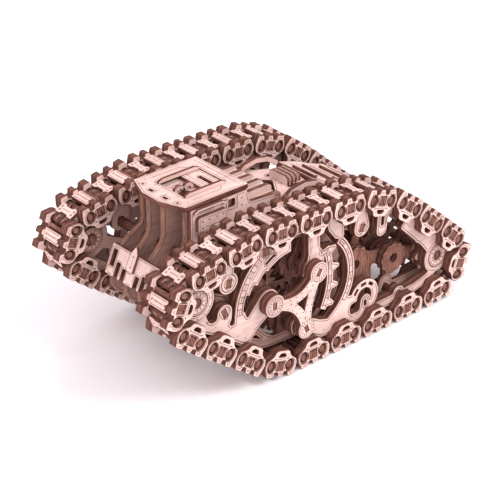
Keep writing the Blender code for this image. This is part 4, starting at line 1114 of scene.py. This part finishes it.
# ------------------------------------------------------------------ hull
def ribs():
    top = DECK_TOP - T - 0.3
    for kind, y, fx in (("rib_outer", RIB_OUT, 95.6), ("rib_inner", RIB_IN, 102.6)):
        prof = [(fx, top), (fx, ZC + 47)]
        prof += z((fx + 2.0, 41), (110, 34.5), (116.6, 29), (124.6, 10), (126, 1), (122, -7),
                  (112, -14), (96, -20), (70, -30), (40, -37.7), (-70, -37.7), (-104, -29),
                  (-111, -10), (-106, 12), (-88, 24), (-40, 41.5), (-32, 42.6), (2, 42.6),
                  (4, 55.5), (40, 56))
        prof.append((41.5, top))
        if kind == "rib_inner":
            prof += [(45, top), (45, top - 4.4), (92, top - 4.4), (92, top)]
        holes = bores((A, B, C, D, E), 5.6, 24)
        holes += bar_holes(("bar_lobe", "bar_slot", "bar_node", "bar_diamond"), 0.6)
        holes.append(rounded(z((101, 22), (101, 6), (86, 18), (90, 22)), 2, 30))
        loops = [soften(q, 2.6) if len(q) > 12 else q for q in merged([prof], holes)]
        y0 = y - T / 2
        marks = contour(loops, 1.8, 0.45, lambda x, h: h > ZC - 30)
        out = [board(loops, y0, y0 + T), ink(marks, y0 + T), ink(marks, y0, up=-1)]
        both(kind, out, "chassis", SKIN_RIB)


def gearbox_walls():
    """Plain side walls of the gearbox, pierced for the shafts."""
    wall = z((66, 38), (-70, 33), (-100, 14), (-110, -12), (-102, -29), (-70, -36), (36, -36),
             (72, -26), (92, -16), (92, 14))
    holes = bores((A, B, C, D, E), 6.4, 24) + bar_holes(("bar_slot", "bar_diamond"), 1.6)
    loops = [eased(q, 3.0) for q in merged([wall], holes)]
    # Their faces take the dark slot: painted shade for the inside of the gearbox.
    both("gearbox_wall", [board(loops, 27.2, 29.0, "XZ", 0.25, DARK_CHAR_AND_SHADE)], "chassis",
         nodes=False)


def roof_plate():
    e = CAB_HALF + 3.2
    roof = [(106, -9.5), (106, 9.5), (98, e), (39, e), (39, -e), (98, -e)]
    opening = [(88, -16), (88, 16), (50, 16), (50, -16)]
    tenons = [box2((99, y), 2.6, 5.0) for y in (RIB_IN, -RIB_IN)]
    ticks = [box2((97.2, y), 2.0, 2.0, 45) for y in (20.0, -20.0)]
    loops = [soften(q, 1.2) for q in merged([roof], [opening, *tenons, *ticks])]
    at = DECK_TOP
    marks = contour(loops, 1.6, 0.4)
    for s in (1, -1):
        marks += strip([(86, s * 23.5), (60, s * 23.5), (56, s * 19.5)], 0.45)
        marks += strip([(94, s * 4.4), (101, s * 4.4)], 0.4)
        marks += dots([(91.5, s * 13), (91.5, s * 25), (44, s * 25), (44, s * 10)], 0.6)
    marks += strip([(44, -22), (44, 22)], 0.45)
    out = [board(loops, at - T, at, "XY"), ink(marks, at, "XY")]
    for y in (-12.8, 17.6):
        bar = [(51, at), (51, at + 1.6), (55, at + 3.2), (85, at + 3.2), (89, at + 1.6), (89, at)]
        out.append(board([bar], y - 1.2, y + 1.2, "XZ", 0.2))
    for x in (73.5, 81.5):
        hoop = merged([sector((x, at - 3.6), 2.6, 5.4, 0, 180, 14)])
        out.append(board(hoop, 0.4, 3.2, "XZ", 0.2))
    place("roof_plate", out, "chassis", ("roof_plate",), SKIN_Z)


def hatch():
    """The sunken floor of the roof's opening, and the bridge over it."""
    floor = [(91, -18.5), (91, 18.5), (46, 18.5), (46, -18.5)]
    pits = [rounded([(83, 2), (83, 13), (71, 13), (71, 8), (76, 2)], 1.5, 30)]
    loops = merged([floor], pits)
    at = DECK_TOP - T - 0.4
    marks = contour(loops, 1.6, 0.4)
    marks += lines(0.45, [(84, -4), (84, -13), (72, -13)], [(80, -4), (76, -9), (68, -9)])
    marks += ring((77, -6), 3.2, 0.45, 24)
    marks += dots([(86, 0), (70, -4), (70, 0)], 0.6)
    place("hatch_floor", [board(loops, at - T, at, "XY"), ink(marks, at, "XY")], "chassis",
          ("hatch_floor",), SKIN_Z)
    bridge = [(68, -15.6), (68, 15.6), (50.4, 15.6), (50.4, -15.6)]
    loops = merged([bridge], [box2((58, 4), 3.2, 15)])
    at = DECK_TOP - 0.6
    marks = contour(loops, 1.5, 0.4) + strip([(63.5, -12), (63.5, 12)], 0.45)
    marks += dots([(54, -10), (62, -10)], 0.6)
    place("hatch_bridge", [board(loops, DECK_TOP - T, at, "XY"), ink(marks, at, "XY")], "chassis",
          ("hatch_bridge",), SKIN_Z)


def cab_sides():
    """The cab's walls, with a riveted panel and an arched lip on each."""
    panel = rounded(z((62.5, 52.5), (90, 52.5), (90, 65.2), (62.5, 65.2)), 2.6, 15)
    at = CAB_HALF + 2 * T
    marks = contour([panel], 1.5, 0.4)
    marks += dots(z((66.5, 61.6), (72.5, 61.6), (80, 61.6), (86, 61.6), (66.5, 56.2),
                    (86, 56.2)), 0.75)
    marks += strip(z((70, 56.4), (82.5, 56.4)), 0.5)
    both("side_panel", [board([panel], CAB_HALF + T + 0.2, at), ink(marks, at)], "chassis")
    wall = z((94, 44)) + [(94, DECK_TOP - T - 0.2), (41, DECK_TOP - T - 0.2)]
    wall += z((38, 60), (14, 58), (10, 47), (20, 40), (78, 40))
    vent, slit = box2((55.6, ZC + 65.0), 6.4, 6.4), box2((80, ZC + 68.4), 13, 1.8)
    loops = [soften(q, 1.4) for q in merged([wall], [vent, slit])]
    at = CAB_HALF + T
    marks = contour(loops, 1.5, 0.4)
    marks += dots(z((46, 66), (46, 60), (20, 53), (28, 53), (36, 53)), 0.7)
    marks += lines(0.45, z((50, 70), (50, 59.5), (61, 59.5), (61, 70)), z((42, 46), (84, 46)),
                   z((16, 48), (36, 48)))
    out = [board(loops, CAB_HALF, at), ink(marks, at)]
    arch = ribbon(z((92, 68.6), (88, 70.2), (66, 70.2), (62, 68.2)), 1.9)
    out.append(board([arch], at, at + 2.2, "XZ", 0.2))
    both("cab_wall", out, "chassis")


def hull_floor():
    floor = [(40, -22.3), (40, 22.3), (-70, 22.3), (-70, -22.3)]
    at = ZC - 42.0
    marks = contour([floor], 2.0, 0.5) + strip([(30, 0), (-60, 0)], 0.5)
    place("hull_floor", [board([floor], at, ZC - 38.2, "XY"), ink(marks, at, "XY", -1)],
          "chassis", ("hull_floor",), SKIN_Z)


def tilted(meshes, deg, at):
    """Some meshes turned about Y and then moved to a place."""
    me = joined(meshes)
    me.transform(Matrix.Rotation(math.radians(deg), 4, "Y"))
    me.transform(Matrix.Translation(Vector(at) * MM))
    return me


def nose():
    """Sloped front plate with a comb of slots and a pointed middle strip."""
    w, h = 27.0, 23.5
    holes = []
    for s in (1, -1):
        holes.append(box2((s * 22.2, 13.4), 4.8, 13.0))
        for y, top in ((14.8, 12.0), (7.6, 9.6)):
            holes.append(box2((s * y, top / 2 - 2), 4.6, top + 4))
    edge = [(-w, 0), (-w, h), (w, h), (w, 0)]
    loops = [soften(q, 0.8) for q in merged([edge], holes)]
    spine = [(-3.4, 10.5), (-3.4, 24.5), (0, 30.5), (3.4, 24.5), (3.4, 10.5)]
    marks = contour(loops, 1.2, 0.4)
    sm = contour([spine], 1.0, 0.4) + dots([(0, 22), (0, 14)], 0.7)
    sm += strip([(0, 16), (0, 20)], 0.4)
    out = [board(loops, 0, T, "YZ"), ink(marks, T, "YZ")]
    out += [board([spine], T, T + 2.4, "YZ", 0.2), ink(sm, T + 2.4, "YZ")]
    place("nose_plate", [tilted(out, -24, (126.4, 0, ZC + 9.2))], "chassis", ("nose_plate",))


def grille():
    """Cross fins on the deck, with a slat in each gap."""
    z0 = ZC + 56.3
    gaps = (-15, -5, 5, 15)
    base = [(8, -23), (8, 23), (40, 23), (40, -23)]
    out = [board([base], z0 - 3.0, z0 - 0.2, "XY")]
    fin = z((9, 53.5), (9, 60.5), (12, 62.4), (38, 62.4), (41, 60.5), (41, 53.5))
    for y in (-20, -10, 0, 10, 20):
        out.append(board([soften(fin, 1.5)], y - 1.9, y + 1.9, "XZ", 0.3))
    z1 = z0 + T + 0.6
    out += [board([box2((24, y), 26, 3.2)], z0, z1, "XY", 0.25) for y in gaps]
    out.append(ink(lines(0.5, *([(14, y), (34, y)] for y in gaps)), z1, "XY"))
    place("engine_grille", out, "chassis", ("engine_grille",), SKIN_Z)


def engine_plate():
    """Sloped-sided plate behind the grille, with four small cross fins."""
    plate = [(1.6, -28), (1.6, 28), (-14, 28), (-33, 17), (-37, 0), (-33, -17), (-14, -28)]
    holes = [[(-3, -17), (-3, 13), (-15, -4)]]
    holes += [rounded(box2((-21.5, y), 9.5, 3.2), 1.5, 30) for y in (-12.0, -4.0, 4.0, 12.0)]
    loops = [soften(q, 1.4) for q in merged([plate], holes)]
    z1 = ZC + 43.0 + T
    marks = contour(loops, 1.5, 0.42)
    marks += dots([(-9, 22), (-9, -22), (-30, 0), (-27, 12), (-27, -12)], 0.6)
    out = [board(loops, ZC + 43.0, z1, "XY"), ink(marks, z1, "XY")]
    fin = [(-10.5, z1 - 0.4), (10.5, z1 - 0.4), (10.5, z1 + 5.2), (7.5, z1 + 7),
           (-7.5, z1 + 7), (-10.5, z1 + 5.2)]
    for i in range(4):
        out.append(board([fin], -19.4 - 3.9 * i, -17.4 - 3.9 * i, "YZ", 0.25))
    place("engine_plate", out, "chassis", ("engine_plate",), SKIN_Z)


def engine_arch():
    arch = ribbon(z((3, 47), (-6, 52.5), (-18, 54.5), (-30, 52), (-40, 45)), 4.2)
    arch = [soften(arch, 3.0)]
    marks = contour(arch, 1.1, 0.45)
    out = [board(arch, 25.4, 29.2, "XZ"), ink(marks, 29.2)]
    both("engine_arch", out, "chassis", nodes=False)


def rear_deck():
    """Deck that slopes down to the rear, with cross slats."""
    shape = [(0, -26), (0, 26), (-22, 30), (-36, 26), (-52, 26), (-52, -26), (-36, -26),
             (-22, -30)]
    holes = [box2((-12, 0), 3, 8), box2((-30, 10), 3, 6), box2((-30, -10), 3, 6)]
    loops = [soften(q, 1.2) for q in merged([shape], holes)]
    marks = contour(loops, 1.8, 0.42)
    for i in range(8):
        x = -6 - 5.4 * i
        marks += lines(0.5, *([(x, s * 22), (x - 2.7, s * 19.4), (x - 5.4, s * 22)]
                              for s in (-1, 1)))
    out = [board(loops, 0, T, "XY"), ink(marks, T, "XY")]
    for i, x in enumerate((-4, -18.5, -23.5, -38, -44)):
        half = 16.0 if i % 2 else 12.5
        slat = [(x - 2, -half), (x + 2, -half), (x + 2, half), (x - 2, half)]
        out.append(board([soften(slat, 0.8)], T, T + 2.6, "XY", 0.25))
        out.append(ink(strip([(x, 3 - half), (x, half - 3)], 0.5), T + 2.6, "XY"))
    me = tilted(out, -20.2, (-39.6, 0, ZC + 42.6))
    place("rear_deck", [me], "chassis", ("rear_deck",), SKIN_Z)


# ------------------------------------------------------------------ stage
LENS, AZIMUTH, ELEVATION = 122.84, 138.77, 29.08
TARGET, DISTANCE = (80.4, 80.0, 121.8), 1.191      # millimetres; metres
WORLD = ((1.0, 0.925, 0.965, 1), 0.98)
SUNS = (("key", 1.55, 24, (0.36, -0.62, -0.72), (1.0, 0.985, 0.97)),
        ("fill", 1.25, 60, (-0.66, -0.30, -0.66), (1.0, 0.955, 0.965)))


def added(name, data):
    ob = bpy.data.objects.new(name, data)
    bpy.context.scene.collection.objects.link(ob)
    return ob


def floor():
    bm = bmesh.new()
    bmesh.ops.create_grid(bm, x_segments=2, y_segments=2, size=6.0)
    me = bpy.data.meshes.new("floor")
    bm.to_mesh(me)
    bm.free()
    m, _, b = material("floor", 0.0)
    b.inputs["Base Color"].default_value = (0.97, 0.96, 0.97, 1)
    b.inputs["Roughness"].default_value = 0.95
    me.materials.append(m)
    added("floor", me)


def lights():
    """A white studio with a soft key from the front and a broad fill."""
    scene = bpy.context.scene
    scene.world = bpy.data.worlds.new("studio")
    scene.world.use_nodes = True
    bg = scene.world.node_tree.nodes["Background"]
    bg.inputs["Color"].default_value, bg.inputs["Strength"].default_value = WORLD
    for name, energy, spread, toward, colour in SUNS:
        sun = bpy.data.lights.new(name, "SUN")
        sun.energy, sun.angle, sun.color = energy, math.radians(spread), colour
        added(name, sun).rotation_euler = Vector(toward).to_track_quat("-Z", "Y").to_euler()
    scene.view_settings.view_transform = "Standard"


def camera():
    cam = bpy.data.cameras.new("camera")
    cam.sensor_width, cam.lens, cam.clip_end = 36.0, LENS, 20.0
    az, el = math.radians(AZIMUTH), math.radians(ELEVATION)
    back = Vector((math.sin(az) * math.cos(el), -math.cos(az) * math.cos(el), math.sin(el)))
    ob = added("camera", cam)
    ob.location = Vector(TARGET) * MM + back * DISTANCE
    ob.rotation_euler = (-back).to_track_quat("-Z", "Y").to_euler()
    bpy.context.scene.camera = ob


for build in (tracks, frame_front, frame_rear, frame_inner, tri_arm, turning, cross_bars, ribs,
              gearbox_walls, roof_plate, hatch, cab_sides, hull_floor, nose, grille,
              engine_plate, engine_arch, rear_deck, floor, lights, camera):
    build()
